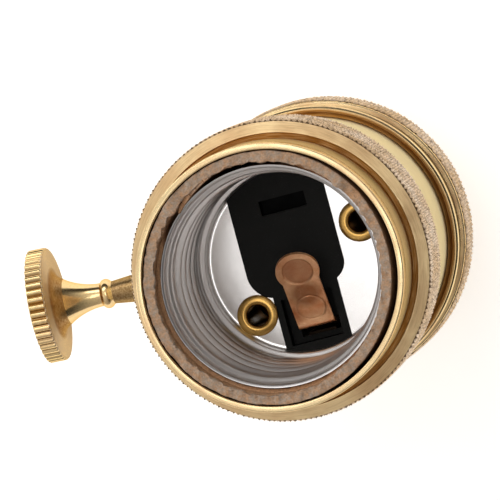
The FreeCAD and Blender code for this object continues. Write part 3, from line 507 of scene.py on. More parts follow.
def turned_brass(name, clean, warm, dirt_and_shade, axis_x=False, crest=None, faced=None, stains_and_shades=(), roughness=0.26):
    """Brass off the lathe: fine turning marks round the axis, a patchy warm film, dirt and painted shade where
    it is low.

    crest gives the two radii between which the dirt and painted shade fade out, faced the two levels between
    which the facing marks are deep, and each entry of stains and painted shade its two levels, its two radii,
    its colour and its share."""
    material, add, shader, spot = begin_material(name)
    if shader is None:
        return material
    if axis_x:
        spot = add("ShaderNodeMapping", {"Vector": spot, "Location": (-SPINDLE_LEVEL, 0.0, 0.0),
                                         "Rotation": (0.0, math.radians(90), 0.0)})
    part, radius, outwards = split_round_z(add, spot)
    level = part.outputs[2]
    around = add("ShaderNodeVectorMath", {0: outwards, "Scale": 0.0012}, "SCALE")
    side = add("ShaderNodeSeparateXYZ", (around,))
    rings = add("ShaderNodeMath", (radius, 1.7, level), "MULTIPLY_ADD")
    track = add("ShaderNodeCombineXYZ", (side.outputs[0], side.outputs[1], rings))
    # tool marks about 0.1 mm apart, each a whole ring
    marks = add("ShaderNodeTexNoise", {"Vector": track, "Scale": 6500.0, "Detail": 3.0, "Roughness": 0.6})
    # cloudy film, patches of 4 to 8 mm
    film = add("ShaderNodeTexNoise", {"Vector": spot, "Scale": 170.0, "Detail": 4.0, "Roughness": 0.6})
    base = film_over(add, (*clean, 1.0), warm, film, (0.38, 0.68, 0.0, 0.8))
    base = film_over(add, base, dirt_and_shade, marks, (0.5, 0.78, 0.0, 0.35))
    if crest:
        # darker towards the roots of the teeth: dirt and painted shade between them
        low = add("ShaderNodeMapRange", (radius, *crest, 0.85, 0.0))
        ring = add("ShaderNodeMath", (radius, crest[0] - 0.08 * MM), "GREATER_THAN")
        # specks of about 0.4 mm where the dirt lies on the crests too
        specks = add("ShaderNodeTexNoise", {"Vector": spot, "Scale": 2600.0, "Detail": 2.0})
        crusted = add("ShaderNodeMapRange", (specks, 0.52, 0.62, 0.0, 0.0 if axis_x else 0.55))
        more = add("ShaderNodeMath", (low, crusted), "MAXIMUM")
        held = add("ShaderNodeMath", (more, ring), "MULTIPLY")
        base = add("ShaderNodeMix", {"Factor": held, "A": base, "B": (*dirt_and_shade, 1.0)}, data_type="RGBA")
    matt = None
    # stains and patches of painted shade, each between two levels and two radii
    for low, high, inner, outer, patch_colour, share in stains_and_shades:
        between = add("ShaderNodeMath", (level, (low + high) / 2, (high - low) / 2), "COMPARE")
        off_middle = add("ShaderNodeMath", (radius, (inner + outer) / 2), "SUBTRACT")
        away = add("ShaderNodeMath", (off_middle,), "ABSOLUTE")
        ring = add("ShaderNodeMapRange", (away, (outer - inner) * 0.35, (outer - inner) * 0.65, 1.0, 0.0),
                   interpolation_type="SMOOTHSTEP")
        patch = add("ShaderNodeMapRange", (marks, 0.25, 0.6, share * 0.6, share))
        inside = add("ShaderNodeMath", (between, ring), "MULTIPLY")
        left_on = add("ShaderNodeMath", (inside, patch), "MULTIPLY")
        base = add("ShaderNodeMix", {"Factor": left_on, "A": base, "B": (*patch_colour, 1.0)}, data_type="RGBA")
        matt = add("ShaderNodeMath", (left_on, matt or 0.0), "MAXIMUM")
    strength = 0.16 if roughness > 0.18 else 0.06
    coarse = add("ShaderNodeMapRange", (film, 0.3, 0.7, roughness - 0.05, roughness + 0.12))
    if matt:
        coarse = add("ShaderNodeMath", (matt, 0.3, coarse), "MULTIPLY_ADD")
    if faced:
        above = add("ShaderNodeMath", (level, faced[0]), "GREATER_THAN")
        below = add("ShaderNodeMath", (level, faced[1]), "LESS_THAN")
        on_face = add("ShaderNodeMath", (above, below), "MULTIPLY")
        strength = add("ShaderNodeMath", (on_face, 0.4, 0.12), "MULTIPLY_ADD")
        coarse = add("ShaderNodeMath", (on_face, 0.1, coarse), "MULTIPLY_ADD")
    relief = add("ShaderNodeBump", {"Height": marks, "Strength": strength, "Distance": 0.03 * MM})
    # the marks run round the axis, so highlights spread along the radius
    turning = add("ShaderNodeTangent", direction_type="RADIAL", axis="X" if axis_x else "Z")
    feed(shader, {"Base Color": base, "Roughness": coarse, "Normal": relief, "Metallic": 1.0,
                  "Specular Tint": (0.84, 0.68, 0.42, 1.0), "Tangent": turning, "Anisotropic": 0.65,
                  "Anisotropic Rotation": 0.25})
    return material


def pressed_metal(name, light, dark, roughness, scale, streaks=(1.0, 1.0, 1.0), grain=0.2, shade_spots=(),
                  bright_below=None):
    """Sheet or wire metal: a cloudy film and fine scratches along the sheet.

    Each spot of painted shade gives its middle, its radius, its soft edge, its colour and its share. The sheet
    is smoother below the level of bright_below."""
    material, add, shader, spot = begin_material(name)
    if shader is None:
        return material
    film = add("ShaderNodeTexNoise", {"Vector": spot, "Scale": scale, "Detail": 5.0, "Roughness": 0.65})
    drawn = add("ShaderNodeMapping", {"Vector": spot, "Scale": streaks})
    lines = add("ShaderNodeTexNoise", {"Vector": drawn, "Scale": scale * 12, "Detail": 3.0})
    base = film_over(add, (*light, 1.0), dark, film, (0.35, 0.7))
    coarse = add("ShaderNodeMapRange", (lines, 0.3, 0.75, roughness - 0.3 * grain, roughness + 0.7 * grain))
    relief = add("ShaderNodeBump", {"Height": lines, "Strength": grain, "Distance": 0.02 * MM})
    if bright_below:
        part = add("ShaderNodeSeparateXYZ", (spot,))
        under = add("ShaderNodeMath", (part.outputs[2], bright_below), "LESS_THAN")
        coarse = add("ShaderNodeMath", (under, -0.2, coarse), "MULTIPLY_ADD")
    # spots of painted shade, darkest inside their radius less the soft edge
    for middle, reach, soft, colour, share in shade_spots:
        far = add("ShaderNodeVectorMath", (spot, middle), "DISTANCE")
        base = film_over(add, base, colour, far, (reach - soft, reach, share, 0.0))
    feed(shader, {"Base Color": base, "Roughness": coarse, "Normal": relief, "Metallic": 1.0})
    return material


def vulcanised_fibre(wall, torn, edge_height):
    """Vulcanised fibre tube: matt brown wall, paler torn layers at its rough-cut end."""
    material, add, shader, spot = begin_material("vulcanised fibre, sawn")
    if shader is None:
        return material
    part = add("ShaderNodeSeparateXYZ", (spot,))
    # torn patches of about 0.5 mm and flecks about 0.1 mm wide
    layers = add("ShaderNodeTexNoise", {"Vector": spot, "Scale": 1500.0, "Detail": 6.0, "Roughness": 0.7})
    flecks = add("ShaderNodeTexNoise", {"Vector": spot, "Scale": 4200.0, "Detail": 3.0})
    end = add("ShaderNodeMapRange", (part.outputs[2], edge_height - 0.7 * MM, edge_height - 0.1 * MM),
              interpolation_type="SMOOTHSTEP")
    broken = add("ShaderNodeMapRange", (layers, 0.36, 0.62, 0.1, 1.0))
    share = add("ShaderNodeMath", (end, broken), "MULTIPLY")
    colour = add("ShaderNodeMix", {"Factor": share, "A": (*wall, 1.0), "B": (*torn, 1.0)}, data_type="RGBA")
    grain = add("ShaderNodeMapRange", (flecks, 0.3, 0.7, 0.72, 1.12))
    shaded = add("ShaderNodeVectorMath", {0: colour, "Scale": grain}, "SCALE")
    relief = add("ShaderNodeBump", {"Height": layers, "Strength": 0.5, "Distance": 0.08 * MM})
    feed(shader, {"Base Color": shaded, "Normal": relief, "Roughness": 0.92, "IOR": 1.45})
    return material


def moulded_thermoset(name, colour, roughness=0.5, gloss=0.05, face=None):
    """Phenolic moulding: black, slightly satin, mottled and dusty, and painted darker below the level of its
    face as painted shade in its recesses.
    """
    material, add, shader, spot = begin_material(name)
    if shader is None:
        return material
    # press mottling of about 1 mm, dust specks of about 0.15 mm
    mottle = add("ShaderNodeTexNoise", {"Vector": spot, "Scale": 900.0, "Detail": 4.0})
    specks = add("ShaderNodeTexNoise", {"Vector": spot, "Scale": 6000.0, "Detail": 1.0})
    dusty = tuple(min(1.0, c * 4 + 0.02) for c in colour)
    base = film_over(add, (*colour, 1.0), dusty, specks, (0.7, 0.78, 0.0, 0.35))
    if face:
        part = add("ShaderNodeSeparateXYZ", (spot,))
        # below the face the colour falls to 0.06 of itself: painted shade in the recesses
        sunk = add("ShaderNodeMapRange", (part.outputs[2], face - 0.5 * MM, face - 0.1 * MM, 0.06, 1.0))
        base = add("ShaderNodeVectorMath", {0: base, "Scale": sunk}, "SCALE")
    coarse = add("ShaderNodeMapRange", (mottle, 0.3, 0.7, roughness - 0.06, roughness + 0.1))
    relief = add("ShaderNodeBump", {"Height": mottle, "Strength": 0.15, "Distance": 0.03 * MM})
    feed(shader, {"Base Color": base, "Roughness": coarse, "Normal": relief, "IOR": 1.5,
                  "Specular IOR Level": gloss})
    return material


def lit_acrylic(colour, glow):
    """Opal acrylic sheet lit from below: even white, with hardly any shadow on it."""
    material, add, shader, spot = begin_material("opal acrylic, lit from below")
    if shader is None:
        return material
    tooth = add("ShaderNodeTexNoise", {"Vector": spot, "Scale": 60.0, "Detail": 2.0})
    tone = add("ShaderNodeMapRange", {"Value": tooth, "To Min": 0.985, "To Max": 1.0})
    mixed = add("ShaderNodeVectorMath", {0: colour, "Scale": tone}, "SCALE")
    feed(shader, {"Base Color": mixed, "Emission Color": mixed, "Emission Strength": glow, "Roughness": 0.9})
    return material


# levels read from the frame

LIP = top_of("barrel").z
RIM = top_of("cap").z
BARREL_END = foot_of("barrel").z
LINER_TOP = top_of("liner").z
LINER_FOOT = foot_of("liner").z
SHELL_TOP = top_of("screw_shell").z
SHELL_UNDER = foot_of("screw_shell").z
SPINDLE_LEVEL = (top_of("spindle").z + foot_of("spindle").z) / 2
KNOB_OUTER = foot_of("knob").x
KNOB_INNER = top_of("knob").x
ALONG_MINUS_X = Matrix.Translation((0, 0, SPINDLE_LEVEL)) @ Matrix.Rotation(math.radians(-90), 4, "Y")
CONTACT_TURN = Matrix.Rotation(math.radians(3.2), 4, "Z")


def knurled(name, body, depth, material, crest, low, high, teeth):
    """A knurled sleeve: its teeth stand on the turned band between two heights."""
    sleeve = carrier(name)
    # the teeth stand a little way in the band, and are wider than high
    sunk, aspect = 0.02 * MM, 0.6
    tooth_arc = TAU * crest / teeth
    rows = round((high - low) / (tooth_arc * aspect)) - 1
    run_tree(sleeve, knurl_tree(), {
        "Root Radius": crest - depth - sunk, "Depth": depth + sunk, "Low Edge": low,
        "Row Height": (high - low) / (rows + 1), "Teeth": teeth, "Rows": rows, "Crest": 0.12, "Seed": 3,
        "Material": material})
    fit_out(sleeve, body, "turned_brass", material)


def givens(context):
    """The sizes and the colours that the panel shows."""
    return context.scene.holder_sizes, context.scene.holder_colours


class HOLDER_OT_barrel(Operator):
    """Turn the barrel: shoulder, tube, band, cove and thin nose, with its spindle hole"""
    bl_idname = "holder.barrel"
    bl_label = "Barrel"

    def execute(self, context):
        size, shade = givens(context)
        band_face, band_back = LIP - 9.3 * MM, LIP - 20.8 * MM
        root = size.band - size.knurl_depth
        cove_top, groove = band_face + 0.75 * MM, LIP - 2.5 * MM
        shoulder_bore, floor = 12.9 * MM, BARREL_END + 1.7 * MM
        outline = softened([
            (shoulder_bore, BARREL_END, 0.15),
            (size.barrel, BARREL_END, 0.3),
            (size.barrel, band_back),
            (root, band_back, 0.25),
            (root, band_face - 0.2 * MM, 0.05),
            (size.band - 0.26 * MM, band_face - 0.16 * MM, 0.1),
            (18.1 * MM, band_face - 0.06 * MM, 0.2),
            (17.5 * MM, band_face + 0.02 * MM, 0.06),
            (17.46 * MM, band_face - 0.95 * MM, 0.12),
            (size.nose - 0.14 * MM, band_face - 0.95 * MM, 0.2),
            (size.nose, cove_top, 0.3),
            (size.nose, groove - 0.16 * MM, 0.05),
            (size.nose - 0.18 * MM, groove, 0.06),
            (size.nose, groove + 0.16 * MM, 0.05),
            (size.nose, LIP, 0.22),
            (size.bore, LIP, 0.2),
            (size.bore, floor),
            (shoulder_bore, floor, 0.15),
        ])
        barrel = turned("barrel_turned", outline, size.segments)
        cut_away(barrel, rod("side_hole", 1.8 * MM, 8 * MM, 24 * MM, ALONG_MINUS_X))
        # the cove in orange-brown painted shade, the ring face, the nose under a dark olive painted reflection,
        # its groove darkened, the tube under a pale painted reflection, and the bore painted near black as
        # painted shade
        stains_and_shades = (
            (band_face - 1.1 * MM, band_face - 0.03 * MM, 16.5 * MM, 17.49 * MM, shade.brass_cove_shade, 0.95),
            (band_face - 0.2 * MM, band_face + 0.05 * MM, 17.6 * MM, 19.0 * MM, linear("#B4936E"), 0.38),
            (cove_top + 0.3 * MM, groove - 0.25 * MM, size.nose - 0.3 * MM, size.nose + 0.3 * MM,
             linear("#7C683C"), 0.5),
            (groove - 0.2 * MM, groove + 0.2 * MM, 16.5 * MM, 17.0 * MM, shade.brass_dirt_and_shade, 0.6),
            (BARREL_END, band_back - 0.05 * MM, 17.1 * MM, 17.3 * MM, shade.tube_reflection, 0.8),
            (BARREL_END, LIP - 0.3 * MM, 15.9 * MM, 16.1 * MM, linear("#2A1A0E"), 0.97))
        brass = turned_brass("brass, turned and faced", shade.brass, shade.brass_warm, shade.brass_dirt_and_shade,
                             faced=(band_face - 0.35 * MM, band_face + 0.04 * MM), roughness=0.2,
                             stains_and_shades=stains_and_shades)
        fit_out(smooth(barrel), "barrel", "turned_brass", brass, "barrel")
        # the band's front edge under the ring face, darkened with dirt and painted shade
        front_edge = (band_face - 0.55 * MM, band_face, root - 0.1 * MM, size.band + 0.5 * MM,
                      shade.knurl_dirt_and_shade, 0.85)
        teeth = turned_brass("brass, knurled front band", shade.knurl, shade.brass_warm, shade.knurl_dirt_and_shade,
                             crest=(root, size.band - 0.06 * MM), roughness=0.34, stains_and_shades=(front_edge,))
        knurled("front_knurl", "barrel", size.knurl_depth, teeth, size.band, band_back + 0.3 * MM,
                band_face - 0.18 * MM, size.front_teeth)
        return {"FINISHED"}


class HOLDER_OT_cap(Operator):
    """Turn the cap: threaded inlet boss, dome, rear band, collar, bead and rim"""
    bl_idname = "holder.cap"
    bl_label = "Cap"

    def execute(self, context):
        size, shade = givens(context)
        dome_foot, dome_start, shoulder = 6.0 * MM, 9.2 * MM, 13.5 * MM
        collar_start, bead_start = 22.0 * MM, RIM - 1.65 * MM
        root = size.rear_band - size.knurl_depth
        cap_bore, disc_seat, lip_edge = 17.3 * MM, foot_of("cap_disc").z, (17.94 * MM, RIM - 0.16 * MM)
        # the wire room narrows to its floor in one round corner
        room, room_low, room_floor = 15.4 * MM, disc_seat - 5.0 * MM, (12.5 * MM, 10.0 * MM)
        outline = softened([
            (size.inlet, 0.0, 0.4),
            (size.boss, 0.0, 0.5),
            (size.boss, dome_foot, 0.2),
            (dome_start, dome_foot),
        ])
        outline += arc((dome_start, dome_foot), (root, shoulder), 10.5 * MM, 1, 24)[:-1]
        outline += softened([
            (root, shoulder, 0.2),
            (root, collar_start, 0.3),
            (size.collar, collar_start, 0.15),
            (size.collar, bead_start),
        ])
        outline += arc((size.collar, bead_start), (size.collar, RIM - 0.55 * MM), 0.56 * MM, 1, 10)[:-1]
        outline += softened([
            (size.collar, RIM - 0.5 * MM, 0.1),
            (size.collar + 0.12 * MM, RIM - 0.3 * MM, 0.08),
            (size.collar + 0.05 * MM, RIM, 0.12),
            (18.06 * MM, RIM - 0.02 * MM, 0.05),
            (18.02 * MM, RIM - 0.16 * MM),
            lip_edge,
        ])
        outline += arc(lip_edge, (cap_bore, RIM - 0.66 * MM), 0.62 * MM, -1, 8)
        outline += softened([
            (cap_bore, RIM - 0.8 * MM),
            (cap_bore, disc_seat),
            (room, disc_seat, 0.1),
            (room, room_low),
        ])
        outline += arc((room, room_low), room_floor, 6.0 * MM, -1, 10)[:-1]
        outline += softened([room_floor, (size.inlet, room_floor[1], 0.4)])
        cap = turned("cap_turned", divided(outline, 0.9 * MM), size.segments)
        cross = Matrix.Translation((0, 0, 3.0 * MM)) @ Matrix.Rotation(math.radians(-90), 4, "X")
        earth = Matrix.Translation((0, -8.5 * MM, 0))
        cut_away(cap, rod("grub_hole", 1.5 * MM, 0, 9 * MM, cross),
                 rod("earth_hole", 1.6 * MM, 7.2 * MM, 11 * MM, earth))
        # the rim's cove in orange-brown painted shade, and the collar darkened with painted shade
        stains_and_shades = (
            (RIM - 0.85 * MM, RIM + 0.05 * MM, 17.2 * MM, 18.3 * MM, shade.brass_cove_shade, 0.9),
            (collar_start - 0.1 * MM, RIM - 1.6 * MM, 18.2 * MM, 18.9 * MM, shade.brass_dirt_and_shade, 0.4))
        brass = turned_brass("brass, turned and lacquered", shade.brass, shade.brass_warm, shade.brass_dirt_and_shade,
                             roughness=0.16, stains_and_shades=stains_and_shades)
        fit_out(smooth(cap), "cap", "turned_brass", brass, "cap")
        teeth = turned_brass("brass, knurled rear band", shade.knurl, shade.brass_warm, shade.knurl_dirt_and_shade,
                             crest=(root, size.rear_band - 0.06 * MM), roughness=0.34)
        knurled("rear_knurl", "cap", size.knurl_depth, teeth, size.rear_band, shoulder + 0.25 * MM,
                collar_start - 0.3 * MM, size.rear_teeth)
        return {"FINISHED"}


# where the tube's end is torn: angle, half width in degrees, height in mm (below zero for a notch)
TEARS = ((133.0, 4.0, 1.0), (126.0, 2.0, -0.9), (141.0, 2.5, -0.7), (34.0, 5.0, -1.6), (43.0, 2.5, 0.8),
         (24.0, 2.0, 0.7), (-62.0, 3.0, 0.5), (-150.0, 3.0, -0.7), (82.0, 3.5, 0.5), (172.0, 2.5, 0.6))


def press_oval(piece, high, middle):
    """Press the tube's end out of round: wide at the left, held in at the right."""
    for vertex in piece.data.vertices:
        x, y, z = vertex.co
        share = clamped(1 - (high - z) / (12 * MM))
        radius = math.hypot(x, y)
        held_in = 0.62 * max(0.0, x * 0.995 - y * 0.1) ** 1.5 / radius ** 1.5
        out = (0.2 if radius > middle else 0.08) - held_in
        vertex.co.x += x / radius * out * share * MM
        vertex.co.y += y / radius * out * share * MM


class HOLDER_OT_liner(Operator):
    """Make the fibre liner with its rough-cut, frayed end"""
    bl_idname = "holder.liner"
    bl_label = "Fibre liner"

    def execute(self, context):
        size, shade = givens(context)
        inside, by_shell = size.liner - size.liner_wall, 14.08 * MM
        outline = [(inside, LINER_FOOT), (size.liner, LINER_FOOT)]
        outline += [(size.liner, LINER_TOP - d * MM) for d in (20, 3, 1.6, 1.0, 0.6, 0.3, 0.1)]
        outline += [(size.liner - size.liner_wall * t, LINER_TOP) for t in (0.06, 0.25, 0.45, 0.65, 0.82, 0.95)]
        outline += [(inside, LINER_TOP - d * MM) for d in (0.12, 0.35, 0.7, 1.1, 1.6, 2.4, 3.4)]
        outline += [(inside, SHELL_TOP - 0.3 * MM), (by_shell, SHELL_TOP - 0.6 * MM),
                    (by_shell, SHELL_UNDER + 3 * MM), (inside, SHELL_UNDER + 2 * MM)]
        tube = turned("liner_frayed", outline, 2 * size.segments)
        middle = size.liner - size.liner_wall / 2
        # the wall is ragged from fray_start up, the end itself from end_start up
        fray_start, end_start = LINER_TOP - 3.6 * MM, LINER_TOP - 0.7 * MM
        for vertex in tube.data.vertices:
            x, y, z = vertex.co
            radius = math.hypot(x, y)
            ux, uy = x / radius, y / radius
            angle = math.degrees(math.atan2(y, x))
            if radius < inside - 0.1 * MM:
                # the wall stands off the shell round the upper left, and lies close to it elsewhere
                off = abs(angle - 110.0)
                radius = inside + (radius - inside) * clamped((off - 36.0) / 8.0)
                vertex.co = (ux * radius, uy * radius, z)
            near = clamped((z - fray_start) / (3.2 * MM))
            if near <= 0.0:
                continue
            coarse = noise.noise(Vector((ux * 9, uy * 9, 0.3)))
            torn = sum(deep * math.exp(-((angle - at) / wide) ** 2) for at, wide, deep in TEARS)
            ragged = noise.noise(vertex.co * 1300)
            fine = noise.noise(vertex.co * 4200)
            end = clamped((z - end_start) / (0.6 * MM))
            push = 0.05 * ragged * near
            if radius < middle:
                push = (0.24 * ragged + 0.16 * fine - 0.3 * max(torn, 0.0)) * near
            lift = end * (0.16 * coarse + 0.2 * ragged + 0.12 * fine + 0.35 * torn)
            vertex.co = (ux * (radius + push * MM), uy * (radius + push * MM), z + lift * MM)
        press_oval(tube, LINER_TOP, middle)
        cut_away(tube, rod("liner_side_hole", 2.2 * MM, 8 * MM, 24 * MM, ALONG_MINUS_X))
        fibre = vulcanised_fibre(shade.fibre, shade.fibre_edge, LINER_TOP)
        fit_out(smooth(tube, 50), "barrel", "fibre", fibre, "liner")
        tufts = carrier("liner_tufts")
        run_tree(tufts, tuft_tree(), {
            "Count": 260, "Radius": inside - 0.02 * MM, "Spread": size.liner_wall * 0.9,
            "Height": LINER_TOP - 0.12 * MM, "Fibre Length": 0.45 * MM, "Fibre Width": 0.05 * MM,
            "Seed": 7, "Material": fibre})
        press_oval(tufts, LINER_TOP, middle)
        fit_out(tufts, "barrel", "fibre", fibre)
        # a strip of the inner layer, torn loose and lying over the shell's edge
        verts, steps, strip_start, strip_sweep = [], 44, 110, 24
        for k in range(steps + 1):
            t = k / steps
            a = math.radians(strip_start + strip_sweep * t)
            radius = (14.45 - 0.62 * t) * MM
            wave = noise.noise(Vector((k * 0.9, 0.0, 5.0)))
            top = LINER_TOP - (0.1 + 0.9 * t + 0.3 * wave) * MM
            thick = (0.55 + 0.3 * wave) * MM * math.sin(math.pi * (0.05 + 0.9 * t)) ** 0.5
            low = top - 1.6 * MM
            for r, z in ((radius, low), (radius + thick, low), (radius + thick, top), (radius, top + 0.1 * MM)):
                verts.append((r * math.cos(a), r * math.sin(a), z))
        faces = [(0, 1, 2, 3), tuple(4 * steps + n for n in (3, 2, 1, 0))]
        faces += [(4 * k + n, 4 * k + 4 + n, 4 * k + 4 + (n + 1) % 4, 4 * k + (n + 1) % 4)
                  for k in range(steps) for n in range(4)]
        flap = object_from("liner_torn_strip", verts, faces)
        fit_out(smooth(flap, 50), "barrel", "fibre", fibre)
        return {"FINISHED"}


class HOLDER_OT_screw_shell(Operator):
    """Roll the lamp thread into the aluminium shell and cut its window and eyelet holes"""
    bl_idname = "holder.screw_shell"
    bl_label = "Screw shell"

    def execute(self, context):
        size, shade = givens(context)
        half = size.sheet / 2
        mouth, foot, middle = 13.75 * MM, 12.35 * MM, size.thread_middle
        thread_top = SHELL_TOP - 2.9 * MM
        floor = SHELL_UNDER + size.sheet
        thread_foot = floor + 1.85 * MM
        outline = softened([
            (0.0, SHELL_UNDER),
            (foot + half, SHELL_UNDER, 0.5),
            (foot + half, thread_foot - half, 0.1),
            (middle + half, thread_foot + 0.5 * MM, 0.3),
            (middle + half, thread_top - 0.3 * MM, 0.3),
            (mouth + half, thread_top + 0.2 * MM, 0.25),
            (mouth + half, SHELL_TOP, 0.08),
            (mouth - half + 0.1 * MM, SHELL_TOP - 0.22 * MM, 0.08),
            (mouth - half, SHELL_TOP - 0.6 * MM, 0.2),
            (mouth - half, thread_top + 0.5 * MM, 0.2),
            (middle - half, thread_top, 0.3),
            (middle - half, thread_foot + 0.6 * MM, 0.3),
            (foot - half, thread_foot + half, 0.2),
            (foot - half, floor, 0.35),
            (0.0, floor),
        ])
        shell = turned("screw_shell_rolled", divided(outline, 0.24 * MM), 180)
        metal = pressed_metal("aluminium, rolled sheet", shade.aluminium, darker(shade.aluminium, 0.94),
                              0.36, 160.0, (1.0, 1.0, 12.0), 0.03, bright_below=floor + 0.02 * MM)
        run_tree(shell, thread_tree(), {
            "Pitch": size.thread_pitch, "Swing": size.thread_swing, "Low End": thread_foot + 0.2 * MM,
            "High End": thread_top + 0.1 * MM, "Fade": 4.6 * MM, "Inner Radius": foot - half + 0.1 * MM,
            "Outer Radius": mouth, "Material": metal})
        # the window in mm: straight sides, a round shoulder at each side, both ends along the wall
        reach = foot / MM - 0.23
        left, right, low_left, low_right, shoulders = -7.45, 5.53, -4.83, 4.03, -0.9
        top_left, top_right, foot_left, foot_right = [
            (x, side * math.sqrt(reach ** 2 - x ** 2))
            for x, side in ((left, 1), (right, 1), (low_left, -1), (low_right, -1))]
        window = [top_left, (left, shoulders)]
        window += arc((left, shoulders), (low_left, -4.16), 3.6, 1, 10) + [foot_left]
        window += arc(foot_left, foot_right, reach, 1, 16) + [(low_right, -3.64)]
        window += arc((low_right, -3.64), (right, shoulders), 2.6, 1, 8) + [top_right]
        window += arc(top_right, top_left, reach, 1, 24)[:-1]
        hole = prism("window", [(x * MM, y * MM) for x, y in window], SHELL_UNDER - MM, floor + MM)
        hole.data.transform(CONTACT_TURN)
        eyelets = [rod("eyelet_hole", 1.9 * MM, SHELL_UNDER - MM, floor + MM,
                       Matrix.Translation((x * MM, y * MM, 0))) for x, y in ((-7.02, -6.27), (8.58, 3.24))]
        cut_away(shell, hole, *eyelets)
        fit_out(smooth(shell, 40), "barrel", "shell_aluminium", metal, "screw_shell")
        return {"FINISHED"}


class HOLDER_OT_contact(Operator):
    """Bend the copper centre contact and press the dimple into its round head"""
    bl_idname = "holder.contact"
    bl_label = "Centre contact"

    def execute(self, context):
        shade = context.scene.holder_colours
        foot = foot_of("centre_contact").z
        thick, slope, reach = 0.45 * MM, math.radians(30.8), 8.98 * MM
        half_width, head = 2.425 * MM, 2.85 * MM
        bend_y, bend_z, bend = -9.1 * MM, 46.73 * MM, 0.9 * MM
        # middle line in (y, z): up the foot, round the bend, up the slope
        turn = math.pi / 2 - slope
        lead = bend * math.tan(turn / 2)
        line = [(bend_y, foot), (bend_y, (foot + bend_z) / 2), (bend_y, bend_z - lead)]
        steps, split, across = 8, 112, 48
        for k in range(1, steps + 1):
            a = turn * k / steps
            line.append((bend_y + bend * (1 - math.cos(a)), bend_z - lead + bend * math.sin(a)))
        start = line[-1]
        along = (math.cos(slope), math.sin(slope))
        run = reach - lead
        for k in range(1, split + 1):
            d = (run + head) * k / split
            line.append((start[0] + along[0] * d, start[1] + along[1] * d))
        verts, faces = [], []
        for i, (y, z) in enumerate(line):
            d = 0.0
            if i > 2 + steps:
                d = (run + head) * (i - 2 - steps) / split
            if d > run:
                half = math.sqrt(max(head ** 2 - (d - run) ** 2, 0.0)) + 1e-6
            elif d > run - math.sqrt(head ** 2 - half_width ** 2):
                half = math.sqrt(head ** 2 - (run - d) ** 2)
            else:
                half = half_width
            for k in range(across + 1):
                verts.append((half * (2 * k / across - 1), y, z))
        for i in range(len(line) - 1):
            for k in range(across):
                a = i * (across + 1) + k
                faces.append((a, a + 1, a + across + 2, a + across + 1))
        strip = object_from("centre_contact_sprung", verts, faces)
        normal = Vector((0, -math.sin(slope), math.cos(slope)))
        centre = Vector((0, start[0] + along[0] * run, start[1] + along[1] * run))
        back = Vector((0, *along))
        second, neck = centre - back * 5.85 * MM, centre - back * 3.6 * MM
        # the dimple in the head and the ring pressed behind it: radius, soft edge and depth in mm
        dimple, dimple_edge, dimple_depth = 2.05 * MM, 0.16 * MM, 0.24
        groove, groove_edge, groove_depth = 1.85 * MM, 0.2 * MM, 0.12
        for vertex in strip.data.vertices:
            edge = clamped((dimple - (vertex.co - centre).length) / dimple_edge)
            vertex.co -= normal * dimple_depth * MM * edge * edge * (3 - 2 * edge)
            ring = max(0.0, 1.0 - abs((vertex.co - second).length - groove) / groove_edge)
            vertex.co -= normal * groove_depth * MM * ring * ring * (3 - 2 * ring)
        if strip.data.polygons[len(strip.data.polygons) // 2].normal.dot(normal) < 0:
            strip.data.flip_normals()
        wall = strip.modifiers.new("sheet", "SOLIDIFY")
        wall.thickness, wall.offset = thick, -1.0
        settle(strip)
        strip.data.transform(CONTACT_TURN)
        # the head's dimple and the neck behind it are painted darker: painted shade
        metal = pressed_metal("copper, cold-rolled strip", shade.copper, shade.copper_dark, 0.32, 420.0,
                              (6.0, 1.0, 1.0), 0.3,
                              ((CONTACT_TURN @ centre, 2.1 * MM, 0.2 * MM, linear("#A4694A"), 0.6),
                               (CONTACT_TURN @ neck, 2.5 * MM, 1.2 * MM, linear("#8A4F2C"), 0.75)))
        fit_out(smooth(strip, 45), "contact", "contact_copper", metal, "centre_contact")
        return {"FINISHED"}


class HOLDER_OT_eyelets(Operator):
    """Roll the two hollow eyelets"""
    bl_idname = "holder.eyelets"
    bl_label = "Eyelets"

    def execute(self, context):
        shade = context.scene.holder_colours
        names = ("eyelet_left", "eyelet_right")
        middles = [(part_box(name)[0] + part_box(name)[1]) / 2 for name in names]
        # the bores are painted black below the rolled lips: painted shade
        bores = [(Vector((middle.x, middle.y, SHELL_UNDER - 5.2 * MM)), 4.4 * MM, 1.6 * MM,
                  linear("#1C130B"), 0.92) for middle in middles]
        metal = pressed_metal("brass, deep-drawn eyelet", shade.eyelet, darker(shade.eyelet, 0.75), 0.24,
                              500.0, grain=0.07, shade_spots=bores)
        bore, tube, lip = 1.38 * MM, 1.85 * MM, 2.7 * MM
        seat = SHELL_UNDER + 0.4 * MM
        roll = (lip - bore) / 2
        for name, middle in zip(names, middles):
            under = foot_of(name).z + roll
            outline = [(tube, seat), (lip, seat)]
            outline += [(x * MM, seat + y * MM) for x, y in (
                (2.7, 0.12), (2.64, 0.21), (2.5, 0.3), (2.3, 0.37), (2.1, 0.41), (1.9, 0.43), (1.72, 0.41),
                (1.58, 0.35), (1.48, 0.26), (1.41, 0.14), (1.38, 0.0))]
            outline += [(bore, under)] + arc((bore, under), (lip, under), roll * 1.001, 1, 14)
            outline += [(tube, under)]
            rivet = turned(name + "_rolled", outline, 64)
            rivet.data.transform(Matrix.Translation((middle.x, middle.y, 0)))
            fit_out(smooth(rivet), "barrel", "eyelet_brass", metal, name)
        return {"FINISHED"}


